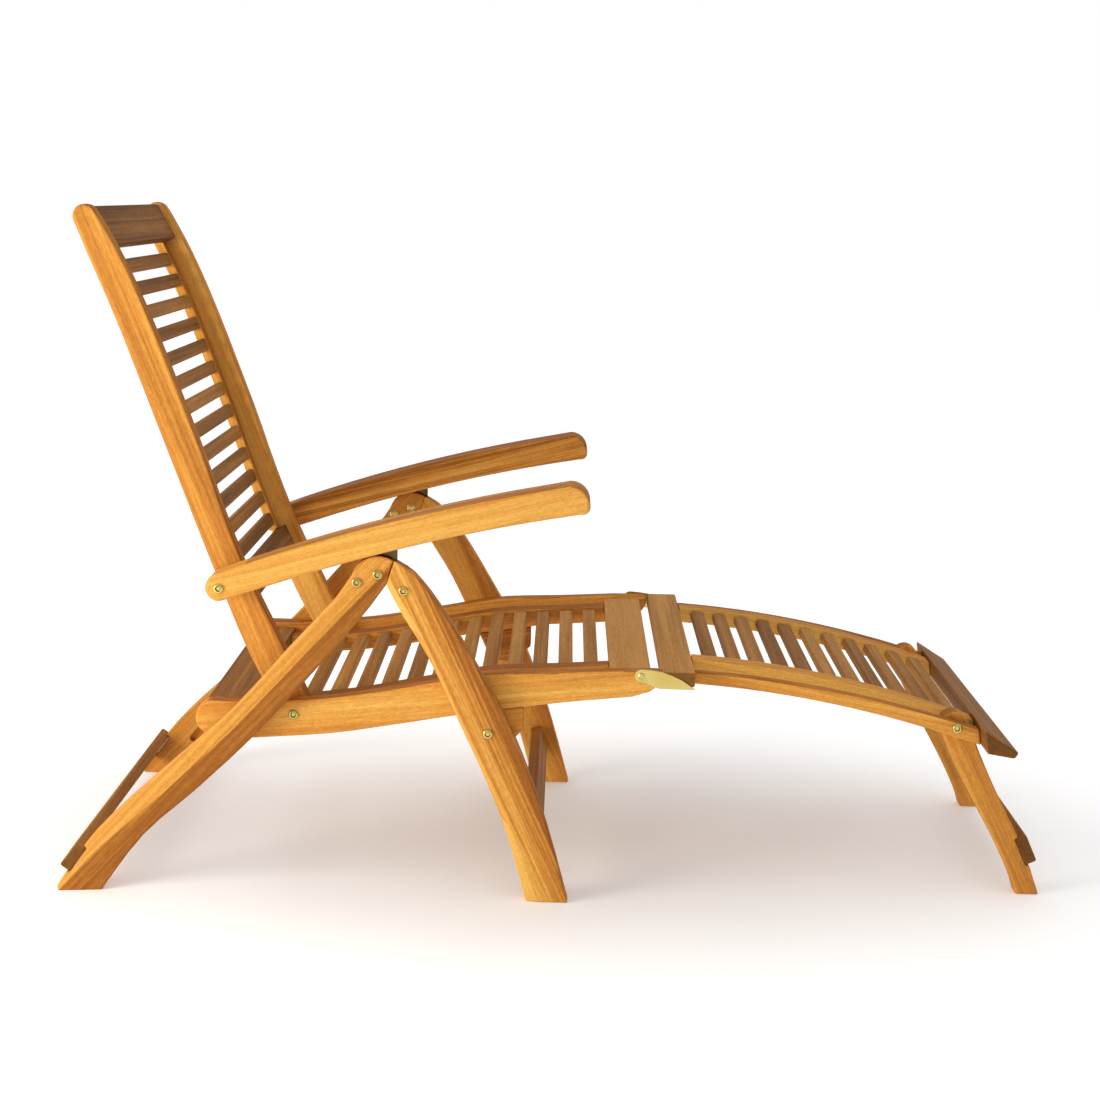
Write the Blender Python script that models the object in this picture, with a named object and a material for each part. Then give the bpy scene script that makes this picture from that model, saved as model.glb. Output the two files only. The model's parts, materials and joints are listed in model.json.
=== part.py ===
"""Folding wooden sun lounger: slatted seat, reclining back, armrests and a hinged footrest.

Metres, +Z up, +X towards the footrest, Y across the chair, floor at Z = 0.
The chair is drawn from the side, as (X, Z) points. Each side is a stack of layers across Y:
from the outside in they are legs, seat rail, back stile and slat bearers.
"""
import math

import bmesh
import bpy
from mathutils import Vector

# Layers of one side, measured across the chair
HALF_WIDTH = 0.290
LEG_THICKNESS = 0.024
LEG_TO_RAIL = 0.0045
RAIL_THICKNESS = 0.024
STILE_THICKNESS = 0.024
STILE_TO_BEARER = 0.0045
SEAT_BEARER_THICKNESS = 0.030
BACK_BEARER_THICKNESS = 0.022
ARMREST_WIDTH = 0.056
ARMREST_WASHER_THICKNESS = 0.0035
FOOTREST_RAIL_THICKNESS = 0.018
FOOTREST_LEG_THICKNESS = 0.026
FOOTREST_BEARER_THICKNESS = 0.032
FOOTREST_SIDE_PLAY = 0.0065
END_BOARD_OVERHANG = 0.039

# Clearances
FIT = 0.0003
TURNING_GAP = 0.0005

# Pivots, seen from the side
APEX_PIVOT = Vector((-0.226, 0.468))
SEAT_PIVOT = Vector((-0.102, 0.258))
BACK_PIVOT = Vector((-0.389, 0.272))
ARM_PIVOT = Vector((-0.490, 0.467))
FOOTREST_PIVOT = Vector((0.120, 0.343))

# Bolts
BOLT_RADIUS = 0.004
BOLT_HEAD_RADIUS = 0.0073
BOLT_HEAD_HEIGHT = 0.003
BOLT_HEAD_FLAT_RADIUS = 0.0044
BOLT_HEAD_RIM = 0.00135
NUT_HEAD_HEIGHT = 0.0025
NUT_FLAT_RADIUS = 0.0062
RIVET_RADIUS = 0.0028
RIVET_HEAD_RADIUS = 0.0048
RIVET_HEAD_HEIGHT = 0.0017
RIVET_HEAD_FLAT_RADIUS = 0.0034
RIVET_HEAD_RIM = 0.0007
SPACER_RADIUS = 0.0131
WASHER_RADIUS = 0.0117
BLIND_HOLE_WALL = 0.006
ROUND_SIDES = 16

# Legs: crown where front and rear leg meet, and the feet
CROWN_FROM_PIVOT = Vector((-0.036, 0.010))
CROWN_RADIUS = 0.040
CROWN_JOINT_ANGLE = 57.0
CROWN_REAR_ANGLE = 165.0
REAR_FOOT_X = -0.7055
REAR_TOE_REACH = 0.0326
FRONT_FOOT_X = -0.011
REAR_LEG_CHAMFER = 0.007
FRONT_LEG_CHAMFER = 0.004
FRONT_RIDGE_START = 0.35
CURVE_STEPS = 3

# Edges of the legs: share of the way from crown or pivot to foot, and distance to the left
REAR_LEG_UPPER = (
    (0.094, -0.0290), (0.26, -0.0275), (0.425, -0.0245), (0.60, -0.0325),
    (0.78, -0.0425), (0.91, -0.0420), (1.03, -0.0285), (1.09, -0.0210),
)
REAR_LEG_LOWER = (
    (-0.008, 0.0100), (0.09, 0.0175), (0.28, 0.0235), (0.46, 0.0255),
    (0.64, 0.0195), (0.80, 0.0105), (0.967, 0.0230), (1.05, 0.0340),
)
REAR_LEG_RIDGE = (
    (-0.044, -0.0046), (0.115, -0.0050), (0.28, -0.0045), (0.474, -0.0040),
    (0.63, -0.0090), (0.805, -0.0190), (0.93, -0.0250), (1.08, -0.0200),
)
FRONT_LEG_BACK = (
    (0.068, -0.0165), (0.20, -0.0085), (0.40, -0.0070), (0.61, -0.0070),
    (0.77, -0.0125), (0.975, -0.0282), (1.05, -0.0350),
)
FRONT_LEG_RIDGE = (
    (0.068, -0.0060), (0.20, -0.0015), (0.40, -0.0020), (0.61, -0.0010),
    (0.77, -0.0030), (0.975, -0.0115), (1.05, -0.0150),
)
FRONT_LEG_FRONT = (
    (-0.03, 0.0245), (0.079, 0.0385), (0.25, 0.0495), (0.45, 0.0575),
    (0.62, 0.0555), (0.80, 0.0465), (1.023, 0.0286), (1.08, 0.0240),
)

# Hinge plate in the saw kerf of the crown, with the tongue that holds the armrest
HINGE_PLATE_THICKNESS = 0.003
HINGE_PLATE_MARGIN = 0.009
FIXING_REAR = Vector((-0.067, 0.011))
FIXING_FRONT = Vector((-0.037, 0.023))
HINGE_PLATE_NOTCH = 0.004
TONGUE_WIDTH = 0.026
TONGUE_FROM_PIVOT = -0.0225
TONGUE_TOP = 0.069
KERF_DROP = 0.060
KERF_REACH = 0.060

# Slot in the rear leg's inner face for the seat's guide pin
GUIDE_PIN = Vector((-0.470, 0.264))
GUIDE_PIN_RADIUS = 0.0055
GUIDE_SLOT_END = Vector((-0.648, 0.066))
GUIDE_SLOT_WIDTH = 0.013
GUIDE_SLOT_DEPTH = 0.010

# Stretchers
STRETCHER_WIDTH = 0.045
STRETCHER_THICKNESS = 0.0185
STRETCHER_NOTCH = 0.006
REAR_STRETCHER_SHARE = 0.948
FRONT_STRETCHER_SHARE = 0.839
FOOTREST_STRETCHER_SHARE = 0.775
STRETCHER_END_INSET = 0.0010

# Seat
SEAT_REAR = Vector((-0.507, 0.264))
SEAT_REAR_RADIUS = 0.027
SEAT_NOSE_RADIUS = 0.0275
SEAT_NOSE_START = -82.0
SEAT_NOSE_END = 15.0
SEAT_RAIL_TOP = (
    (0.10, 0.0185), (0.20, 0.0143), (0.30, 0.0125), (0.42, 0.0160), (0.54, 0.0212),
    (0.66, 0.0243), (0.81, 0.0165), (0.96, 0.0100),
)
SEAT_RAIL_BOTTOM = (
    (0.09, -0.0370), (0.267, -0.0413), (0.42, -0.0378), (0.57, -0.0326),
    (0.80, -0.0293), (0.975, -0.0307),
)
LUG_REAR_REACH = 0.038
LUG_FRONT_REACH = 0.051
LUG_BELOW_PIVOT = ((-0.026, 0.000), (-0.015, -0.019), (0.005, -0.030), (0.029, -0.022), (0.051, -0.002))
SEAT_FRONT_BOARD_REAR = 0.074
SEAT_FRONT_BOARD_WIDTH = 0.061
SEAT_FRONT_BOARD_THICKNESS = 0.014
SEAT_FRONT_BOARD_DROP = 0.0030
SEAT_REAR_BOARD_REAR = -0.525
SEAT_REAR_BOARD_WIDTH = 0.065
SEAT_REAR_BOARD_THICKNESS = 0.020
SEAT_REAR_BOARD_TOP = 0.281
SEAT_BEARER_DROP_REAR = 0.012
SEAT_BEARER_DROP_FRONT = 0.005
SEAT_BEARER_DEPTH = 0.027
SEAT_SLATS = 13
SEAT_FIRST_SLAT = 0.027
SEAT_LAST_SLAT_INSET = 0.0456

# Slats of the seat, back and footrest
SLAT_WIDTH = 0.0215
SLAT_THICKNESS = 0.013
SLAT_RECESS = 0.003
SLAT_TENON = 0.008

# Back
BACK_TOP = Vector((-0.683, 0.985))
BACK_TOP_RADIUS = 0.018
BACK_FOOT_RADIUS = 0.025
STILE_FRONT = (
    (0.04, -0.0240), (0.127, -0.0205), (0.27, -0.0145), (0.40, -0.0165),
    (0.55, -0.0235), (0.77, -0.0285), (0.90, -0.0265), (0.985, -0.0200),
)
STILE_BACK = (
    (0.04, 0.0260), (0.15, 0.0322), (0.30, 0.0308), (0.50, 0.0258),
    (0.78, 0.0178), (0.94, 0.0175), (1.0, 0.0165),
)
BACK_SLATS = 13
BACK_LADDER_START = 0.2134
BACK_LADDER_END = 0.7244
BACK_FIRST_SLAT = 0.0201
BACK_LAST_SLAT_INSET = 0.0274
BACK_SLAT_RECESS = 0.001
BACK_TOP_RAIL_WIDTH = 0.0616
BACK_BOTTOM_RAIL_WIDTH = 0.045
BACK_RAIL_THICKNESS = 0.020
BACK_TOP_RAIL_RECESS = 0.009
BACK_BOTTOM_RAIL_RECESS = 0.017
BACK_BEARER_RECESS = 0.0285
BACK_BEARER_DEPTH = 0.015

# Armrests
ARMREST_TIP = Vector((0.020, 0.606))
ARMREST_BOW = 0.013
ARMREST_REAR_HALF_DEPTH = 0.0200
ARMREST_FRONT_HALF_DEPTH = 0.0215
ARMREST_NOSE = 0.019
ARMREST_NOSE_TOP_RADIUS = 0.028
ARMREST_NOSE_BOTTOM_RADIUS = 0.010
ARMREST_STATIONS = 12
GROOVE_WIDTH = 0.008
GROOVE_START = 0.195
GROOVE_END = 0.440
GROOVE_HEADROOM = 0.0070

# Footrest
FIRST_BOARD_REACH = 0.030
FIRST_BOARD_WIDTH = 0.049
FIRST_BOARD_THICKNESS = 0.023
FIRST_BOARD_RISE = 0.007
FOOTREST_DROP = 0.0010
FOOTREST_SLOPE = 0.0569
FOOTREST_CURVE = 0.331
FOOTREST_LENGTH = 0.4255
FOOTREST_RAIL_DEPTH = 0.025
FOOTREST_RAIL_DIP = 0.0065
FOOTREST_BEARER_RISE = 0.0015
FOOTREST_CURVE_STEPS = 12
FOOTREST_SLATS = 11
FOOTREST_FIRST_SLAT = 0.031
FOOTREST_LAST_SLAT_INSET = 0.0255
FOOTREST_LEG_PIVOT_INSET = 0.0330
FOOTREST_LEG_PIVOT_DROP = 0.010
FOOTREST_LEG_FOOT_X = 0.7195
FOOTREST_LEG_HEAD_RADIUS = 0.0205
FOOTREST_LEG_BACK = (
    (0.05, -0.0212), (0.19, -0.0225), (0.45, -0.0180), (0.66, -0.0135),
    (0.86, -0.0125), (0.975, -0.0160), (1.09, -0.0200),
)
FOOTREST_LEG_FRONT = (
    (0.06, 0.0203), (0.20, 0.0180), (0.40, 0.0180), (0.62, 0.0205),
    (0.80, 0.0212), (1.025, 0.0157), (1.11, 0.0130),
)
END_BOARD_WIDTH = 0.061
END_BOARD_REAR_THICKNESS = 0.027
END_BOARD_FRONT_THICKNESS = 0.011
END_BOARD_REAR_CUT = 0.023
END_BOARD_RISE = 0.009
END_BOARD_TILT = 32.0

# Leaf-shaped plates that hinge the footrest on the seat rails
LEAF_PLATE_THICKNESS = 0.0016
LEAF_PLATE_RADIUS = 0.010
LEAF_PLATE_SHAPE = (
    (0.016, 0.0087), (0.030, 0.0069), (0.045, 0.0018), (0.0595, -0.0049), (0.0702, -0.0122), (0.080, -0.0190),
    (0.028, -0.0187), (0.0195, -0.0163), (0.0087, -0.0121),
)

# Colours as they look in daylight, as sRGB hex
GOLDEN_WOOD = "E3A44C"
BROWN_WOOD = "966A40"
YELLOW_ZINC = "C9B063"

# Layer faces worked out from the outside in
LEG_INNER = HALF_WIDTH - LEG_THICKNESS
RAIL_OUTER = LEG_INNER - LEG_TO_RAIL
RAIL_INNER = RAIL_OUTER - RAIL_THICKNESS
STILE_OUTER = RAIL_INNER - TURNING_GAP
STILE_INNER = STILE_OUTER - STILE_THICKNESS
SEAT_BEARER_OUTER = STILE_INNER - STILE_TO_BEARER
SEAT_BEARER_INNER = SEAT_BEARER_OUTER - SEAT_BEARER_THICKNESS
BACK_BEARER_OUTER = STILE_INNER - FIT
BACK_BEARER_INNER = BACK_BEARER_OUTER - BACK_BEARER_THICKNESS
ARMREST_INNER = STILE_OUTER + ARMREST_WASHER_THICKNESS
ARMREST_OUTER = ARMREST_INNER + ARMREST_WIDTH
FOOTREST_RAIL_OUTER = RAIL_INNER - FOOTREST_SIDE_PLAY
FOOTREST_RAIL_INNER = FOOTREST_RAIL_OUTER - FOOTREST_RAIL_THICKNESS
FOOTREST_LEG_OUTER = FOOTREST_RAIL_INNER - TURNING_GAP
FOOTREST_LEG_INNER = FOOTREST_LEG_OUTER - FOOTREST_LEG_THICKNESS
FOOTREST_BEARER_OUTER = FOOTREST_LEG_INNER - TURNING_GAP
FOOTREST_BEARER_INNER = FOOTREST_BEARER_OUTER - FOOTREST_BEARER_THICKNESS
LEAF_PLATE_INNER = RAIL_OUTER + FIT
LEAF_PLATE_OUTER = LEAF_PLATE_INNER + LEAF_PLATE_THICKNESS
LEG_MIDDLE = HALF_WIDTH - LEG_THICKNESS / 2

# Places worked out from the pivots
CROWN = APEX_PIVOT + CROWN_FROM_PIVOT
REAR_FOOT = Vector((REAR_FOOT_X, 0.0))
FRONT_FOOT = Vector((FRONT_FOOT_X, 0.0))
FOOTREST_START_X = FOOTREST_PIVOT.x + FIRST_BOARD_REACH + FIRST_BOARD_WIDTH + FIT
FOOTREST_START_Z = FOOTREST_PIVOT.y + FIRST_BOARD_RISE - FOOTREST_DROP
FOOTREST_END_X = FOOTREST_START_X + FOOTREST_LENGTH
FOOTREST_SLAT_RUN = FOOTREST_LENGTH - FOOTREST_FIRST_SLAT - FOOTREST_LAST_SLAT_INSET

SIDES = (("right", -1), ("left", 1))


def footrest_top(x):
    """Height of the footrest rails' top edge at x."""
    run = x - FOOTREST_START_X
    return FOOTREST_START_Z - FOOTREST_SLOPE * run - FOOTREST_CURVE * run * run


FOOTREST_LEG_PIVOT_X = FOOTREST_END_X - FOOTREST_LEG_PIVOT_INSET
FOOTREST_LEG_PIVOT = Vector(
    (FOOTREST_LEG_PIVOT_X, footrest_top(FOOTREST_LEG_PIVOT_X) - FOOTREST_LEG_PIVOT_DROP)
)
FOOTREST_LEG_FOOT = Vector((FOOTREST_LEG_FOOT_X, 0.0))

# Moving bodies: the pivot that each turns on, and the body that carries it
BODIES = {
    "rear_legs": (Vector((0.0, 0.0)), None),
    "front_legs": (APEX_PIVOT, "rear_legs"),
    "seat": (SEAT_PIVOT, "front_legs"),
    "back_pivots": (BACK_PIVOT, "seat"),
    "back": (BACK_PIVOT, "back_pivots"),
    "arm_pivots": (ARM_PIVOT, "back"),
    "armrests": (ARM_PIVOT, "arm_pivots"),
    "footrest": (FOOTREST_PIVOT, "seat"),
    "footrest_legs": (FOOTREST_LEG_PIVOT, "footrest"),
}


# Curves in the side view

def arc(centre, radius, start, end, steps):
    """Points about a centre from one angle in degrees to another."""
    angles = [math.radians(start + (end - start) * step / steps) for step in range(steps + 1)]
    return [centre + radius * Vector((math.cos(angle), math.sin(angle))) for angle in angles]


def left_of(direction):
    """Unit vector to the left of a direction."""
    return Vector((-direction.y, direction.x)).normalized()


def beside_line(start, end, stations):
    """Points given by their share of the way from start to end and their distance to its left."""
    run = end - start
    return [start + run * share + left_of(run) * offset for share, offset in stations]


def smooth(points, steps=CURVE_STEPS):
    """A Catmull-Rom curve through the points, with some steps between neighbours."""
    ends = [2 * points[0] - points[1]] + list(points) + [2 * points[-1] - points[-2]]
    curve = []
    for before, start, end, after in zip(ends, ends[1:], ends[2:], ends[3:]):
        for step in range(steps):
            t = step / steps
            pull = (end - before) * t
            bend = (2 * before - 5 * start + 4 * end - after) * t ** 2
            twist = (3 * start - before - 3 * end + after) * t ** 3
            curve.append(start + (pull + bend + twist) / 2)
    curve.append(points[-1].copy())
    return curve


def height_at(edge, x):
    """Height of an edge, whose points run along X, at x."""
    points = sorted(edge, key=lambda point: point.x)
    for low, high in zip(points, points[1:]):
        if x <= high.x:
            break
    return low.y + (high.y - low.y) * (x - low.x) / (high.x - low.x)


def edge_at(edge, start, direction, distance):
    """Point and tangent of an edge where it lies at a distance from start along a direction."""
    reach = [(point - start).dot(direction) for point in edge]
    for index in range(len(edge) - 1):
        if reach[index + 1] >= distance:
            break
    tangent = edge[index + 1] - edge[index]
    share = (distance - reach[index]) / (reach[index + 1] - reach[index])
    return edge[index] + tangent * share, tangent.normalized()


# Solids

def loft(sections):
    """Closed solid through outlines of equal length, each at its own distance across the chair."""
    mesh = bmesh.new()
    loops = [[mesh.verts.new((point.x, y, point.y)) for point in outline] for outline, y in sections]
    for near, far in zip(loops, loops[1:]):
        for index in range(len(near)):
            after = (index + 1) % len(near)
            mesh.faces.new((near[index], near[after], far[after], far[index]))
    mesh.faces.new(loops[0])
    mesh.faces.new(loops[-1])
    bmesh.ops.recalc_face_normals(mesh, faces=mesh.faces)
    return mesh


def slab(outline, start, end):
    """Flat solid of one outline between two distances across the chair."""
    return loft(((outline, start), (outline, end)))


def bar(centre, along, width, thickness, start, end):
    """Straight bar across the chair, its width lying along a direction of the side view."""
    along = along.normalized()
    across = left_of(along)
    corners = ((-1, -1), (1, -1), (1, 1), (-1, 1))
    outline = [centre + along * width / 2 * a + across * thickness / 2 * b for a, b in corners]
    return slab(outline, start, end)


def turned(profile, centre):
    """Solid of revolution about an axis across the chair, from (radius, y) points end to end."""
    mesh = bmesh.new()
    rings = []
    for radius, y in profile:
        ring = [
            mesh.verts.new((point.x, y, point.y))
            for point in arc(centre, radius, 0.0, 360.0, ROUND_SIDES)[:-1]
        ]
        rings.append(ring)
    for low, high in zip(rings, rings[1:]):
        for index in range(ROUND_SIDES):
            after = (index + 1) % ROUND_SIDES
            mesh.faces.new((low[index], low[after], high[after], high[index]))
    mesh.faces.new(rings[0])
    mesh.faces.new(rings[-1])
    bmesh.ops.recalc_face_normals(mesh, faces=mesh.faces)
    return mesh


def drill(centre, radius, start, end):
    """Cutter for a round hole across the chair, a fit larger than what goes in it."""
    return turned(((radius + FIT, start), (radius + FIT, end)), centre)


def ring(centre, outer, inner, start, end):
    """Flat washer about an axis across the chair."""
    washer = turned(((outer, start), (outer, end)), centre)
    return carved(washer, (drill(centre, inner, min(start, end) - FIT, max(start, end) + FIT),))


def cut_at_floor(mesh):
    """Cut everything below the floor away and close the cut."""
    geometry = list(mesh.verts) + list(mesh.edges) + list(mesh.faces)
    bmesh.ops.bisect_plane(
        mesh, geom=geometry, plane_co=(0.0, 0.0, 0.0), plane_no=(0.0, 0.0, 1.0), clear_inner=True
    )
    bmesh.ops.holes_fill(mesh, edges=[edge for edge in mesh.edges if edge.is_boundary])
    bmesh.ops.recalc_face_normals(mesh, faces=mesh.faces)
    return mesh


def loose_object(name, mesh):
    """Object made of a bmesh, which is used up."""
    data = bpy.data.meshes.new(name)
    mesh.to_mesh(data)
    mesh.free()
    thing = bpy.data.objects.new(name, data)
    bpy.context.scene.collection.objects.link(thing)
    return thing


def combined(mesh, tools, operation):
    """The mesh after a Boolean with each tool in turn."""
    for tool in tools:
        body = loose_object("body", mesh)
        other = loose_object("tool", tool)
        boolean = body.modifiers.new("boolean", "BOOLEAN")
        boolean.operation = operation
        boolean.solver = "EXACT"
        boolean.object = other
        graph = bpy.context.evaluated_depsgraph_get()
        mesh = bmesh.new()
        mesh.from_object(body, graph)
        bpy.data.objects.remove(body)
        bpy.data.objects.remove(other)
    return mesh


def carved(mesh, cutters):
    """The mesh with each cutter taken out of it."""
    return combined(mesh, cutters, "DIFFERENCE")


def merged(meshes):
    """Several bmeshes as one, as separate shells."""
    whole = bmesh.new()
    for mesh in meshes:
        data = bpy.data.meshes.new("shell")
        mesh.to_mesh(data)
        mesh.free()
        whole.from_mesh(data)
        bpy.data.meshes.remove(data)
    return whole


# Nodes

def linear(hex_colour):
    """Linear RGBA of an sRGB hex colour."""
    shares = [int(hex_colour[index:index + 2], 16) / 255 for index in (0, 2, 4)]
    return [s / 12.92 if s <= 0.04045 else ((s + 0.055) / 1.055) ** 2.4 for s in shares] + [1.0]


def make_pivots():
    """One empty on each body's joint axis, carried by its parent body's empty."""
    pivots = {}
    for body, (pivot, parent) in BODIES.items():
        empty = bpy.data.objects.new(body, None)
        bpy.context.scene.collection.objects.link(empty)
        place = Vector((pivot.x, 0.0, pivot.y))
        if parent:
            carrier = BODIES[parent][0]
            place -= Vector((carrier.x, 0.0, carrier.y))
            empty.parent = pivots[parent]
        empty.location = place
        pivots[body] = empty
    return pivots


def node(name, mesh, body, colour, roughness=0.55, metallic=0.0):
    """Named piece on its body's joint axis, with its own material."""
    pivot = BODIES[body][0]
    bmesh.ops.translate(mesh, verts=mesh.verts, vec=(-pivot.x, 0.0, -pivot.y))
    piece = loose_object(name, mesh)
    piece.parent = PIVOTS[body]
    material = bpy.data.materials.new(name)
    material.use_nodes = True
    shader = material.node_tree.nodes["Principled BSDF"]
    shader.inputs["Base Color"].default_value = linear(colour)
    shader.inputs["Roughness"].default_value = roughness
    shader.inputs["Metallic"].default_value = metallic
    piece.data.materials.append(material)
    if metallic:
        piece.data.shade_smooth()
        piece.data.set_sharp_from_angle(angle=math.radians(35.0))
    return piece


def metal_node(name, mesh, body):
    """Named piece of yellow zinc-plated steel."""
    return node(name, mesh, body, YELLOW_ZINC, roughness=0.35, metallic=1.0)


def bolt(centre, face, tip, sign, nut_face=None):
    """Dome-headed bolt from its head on an outer face to its tip, or to a nut on an inner face."""
    seat = face + FIT
    top = seat + BOLT_HEAD_HEIGHT
    profile = [
        (BOLT_HEAD_FLAT_RADIUS, top),
        (BOLT_HEAD_RADIUS, seat + BOLT_HEAD_RIM),
        (BOLT_HEAD_RADIUS, seat),
        (BOLT_RADIUS, seat),
        (BOLT_RADIUS, tip),
    ]
    if nut_face is not None:
        nut_seat = nut_face - FIT
        profile[-1] = (BOLT_RADIUS, nut_seat)
        profile.append((BOLT_HEAD_RADIUS, nut_seat))
        profile.append((NUT_FLAT_RADIUS, nut_seat - NUT_HEAD_HEIGHT))
    return turned([(radius, sign * y) for radius, y in profile], centre)


# Outlines that more than one piece uses

REAR_LEG_AXIS = (REAR_FOOT - CROWN).normalized()
FRONT_LEG_AXIS = (FRONT_FOOT - APEX_PIVOT).normalized()
FOOTREST_LEG_AXIS = (FOOTREST_LEG_FOOT - FOOTREST_LEG_PIVOT).normalized()
BACK_AXIS = (BACK_TOP - BACK_PIVOT).normalized()
ARMREST_AXIS = (ARMREST_TIP - ARM_PIVOT).normalized()
RAIL_TOP_EDGE = smooth(beside_line(SEAT_REAR, FOOTREST_PIVOT, SEAT_RAIL_TOP))
RAIL_BOTTOM_EDGE = smooth(beside_line(SEAT_REAR, FOOTREST_PIVOT, SEAT_RAIL_BOTTOM))
STILE_FRONT_EDGE = smooth(beside_line(BACK_PIVOT, BACK_TOP, STILE_FRONT))
STILE_BACK_EDGE = smooth(beside_line(BACK_PIVOT, BACK_TOP, STILE_BACK))
REAR_LEG_UPPER_EDGE = smooth(beside_line(CROWN, REAR_FOOT, REAR_LEG_UPPER))
FOOTREST_LEG_FRONT_EDGE = smooth(beside_line(FOOTREST_LEG_PIVOT, FOOTREST_LEG_FOOT, FOOTREST_LEG_FRONT))
CROWN_JOINT_TOP = arc(CROWN, CROWN_RADIUS, CROWN_JOINT_ANGLE, CROWN_REAR_ANGLE, 1)[0]
CROWN_JOINT_FOOT = beside_line(CROWN, REAR_FOOT, REAR_LEG_LOWER[:1])[0]


def stretcher(edge, axis, start, share, length, half_width):
    """Bar let into an edge, square to the legs' sides; also used, larger, to cut its notches."""
    point, tangent = edge_at(edge, start, axis, share * length)
    outward = (point - start) - axis * (point - start).dot(axis)
    centre = point + outward.normalized() * (STRETCHER_THICKNESS / 2 - STRETCHER_NOTCH)

    def grown(clearance):
        return bar(
            centre, tangent, STRETCHER_WIDTH + 2 * clearance, STRETCHER_THICKNESS + 2 * clearance,
            -half_width - 4 * clearance, half_width + 4 * clearance,
        )

    return grown


REAR_STRETCHER = stretcher(
    REAR_LEG_UPPER_EDGE, REAR_LEG_AXIS, CROWN, REAR_STRETCHER_SHARE,
    (REAR_FOOT - CROWN).length, HALF_WIDTH - STRETCHER_END_INSET,
)
FOOTREST_STRETCHER = stretcher(
    FOOTREST_LEG_FRONT_EDGE, FOOTREST_LEG_AXIS, FOOTREST_LEG_PIVOT, FOOTREST_STRETCHER_SHARE,
    (FOOTREST_LEG_FOOT - FOOTREST_LEG_PIVOT).length, FOOTREST_LEG_OUTER - STRETCHER_END_INSET,
)


# Pieces of the legs

def hinge_plate_outline(margin):
    """Plate round its bolts and the pivot, notched over the crotch, with its tongue standing up."""
    rear = APEX_PIVOT + FIXING_REAR
    tongue_left = APEX_PIVOT.x + TONGUE_FROM_PIVOT - TONGUE_WIDTH / 2
    tongue_right = tongue_left + TONGUE_WIDTH
    shoulder = APEX_PIVOT.y + FIXING_FRONT.y + margin
    tongue_top = APEX_PIVOT.y + TONGUE_TOP
    outline = arc(rear, margin, 100.0, 290.0, 6)
    outline.append(CROWN_JOINT_FOOT + Vector((0.0, HINGE_PLATE_NOTCH)))
    outline += arc(APEX_PIVOT, margin, 255.0, 400.0, 5)
    outline += [Vector((tongue_right, shoulder)), Vector((tongue_right, tongue_top))]
    outline += [Vector((tongue_left, tongue_top)), Vector((tongue_left, shoulder))]
    return outline


def rear_leg(sign):
    """Rear leg with its long outer chamfer, crown kerf, guide slot and bolt holes."""
    upper = list(reversed(REAR_LEG_UPPER_EDGE))
    crown = list(reversed(arc(CROWN, CROWN_RADIUS, CROWN_JOINT_ANGLE, CROWN_REAR_ANGLE, 8)))
    lower = smooth(beside_line(CROWN, REAR_FOOT, REAR_LEG_LOWER))
    ridge = smooth(beside_line(CROWN, REAR_FOOT, REAR_LEG_RIDGE))
    full = lower + upper + crown
    face = ridge + upper + crown
    chamfer_start = HALF_WIDTH - REAR_LEG_CHAMFER
    sections = ((full, sign * LEG_INNER), (full, sign * chamfer_start), (face, sign * HALF_WIDTH))
    leg = cut_at_floor(loft(sections))
    cutters = [
        drill(APEX_PIVOT + fixing, BOLT_RADIUS, 0.0, sign * HALF_WIDTH * 2)
        for fixing in (FIXING_REAR, FIXING_FRONT)
    ]
    kerf_left = APEX_PIVOT.x + FIXING_REAR.x - HINGE_PLATE_MARGIN - FIT
    kerf_foot = APEX_PIVOT.y - HINGE_PLATE_MARGIN - FIT
    kerf = [Vector((kerf_left, kerf_foot)), Vector((APEX_PIVOT.x, kerf_foot))]
    kerf += [Vector((APEX_PIVOT.x, APEX_PIVOT.y + TONGUE_TOP))]
    kerf += [Vector((kerf_left, APEX_PIVOT.y + TONGUE_TOP))]
    half_kerf = HINGE_PLATE_THICKNESS / 2 + FIT
    cutters.append(slab(kerf, sign * (LEG_MIDDLE - half_kerf), sign * (LEG_MIDDLE + half_kerf)))
    run = GUIDE_SLOT_END - GUIDE_PIN
    heading = math.degrees(math.atan2(run.y, run.x))
    half_slot = GUIDE_SLOT_WIDTH / 2
    slot = arc(GUIDE_SLOT_END, half_slot, heading - 90.0, heading + 90.0, 8)
    slot += arc(GUIDE_PIN, half_slot, heading + 90.0, heading + 270.0, 8)
    cutters.append(slab(slot, sign * (LEG_INNER - FIT), sign * (LEG_INNER + GUIDE_SLOT_DEPTH)))
    cutters.append(REAR_STRETCHER(FIT))
    toe = REAR_FOOT_X - REAR_TOE_REACH
    tip = [Vector((toe - REAR_TOE_REACH, -FIT)), Vector((toe, -FIT))]
    tip += [Vector((toe, REAR_TOE_REACH)), Vector((toe - REAR_TOE_REACH, REAR_TOE_REACH))]
    cutters.append(slab(tip, sign * (LEG_INNER - FIT), sign * (HALF_WIDTH + FIT)))
    return carved(leg, cutters)


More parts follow.
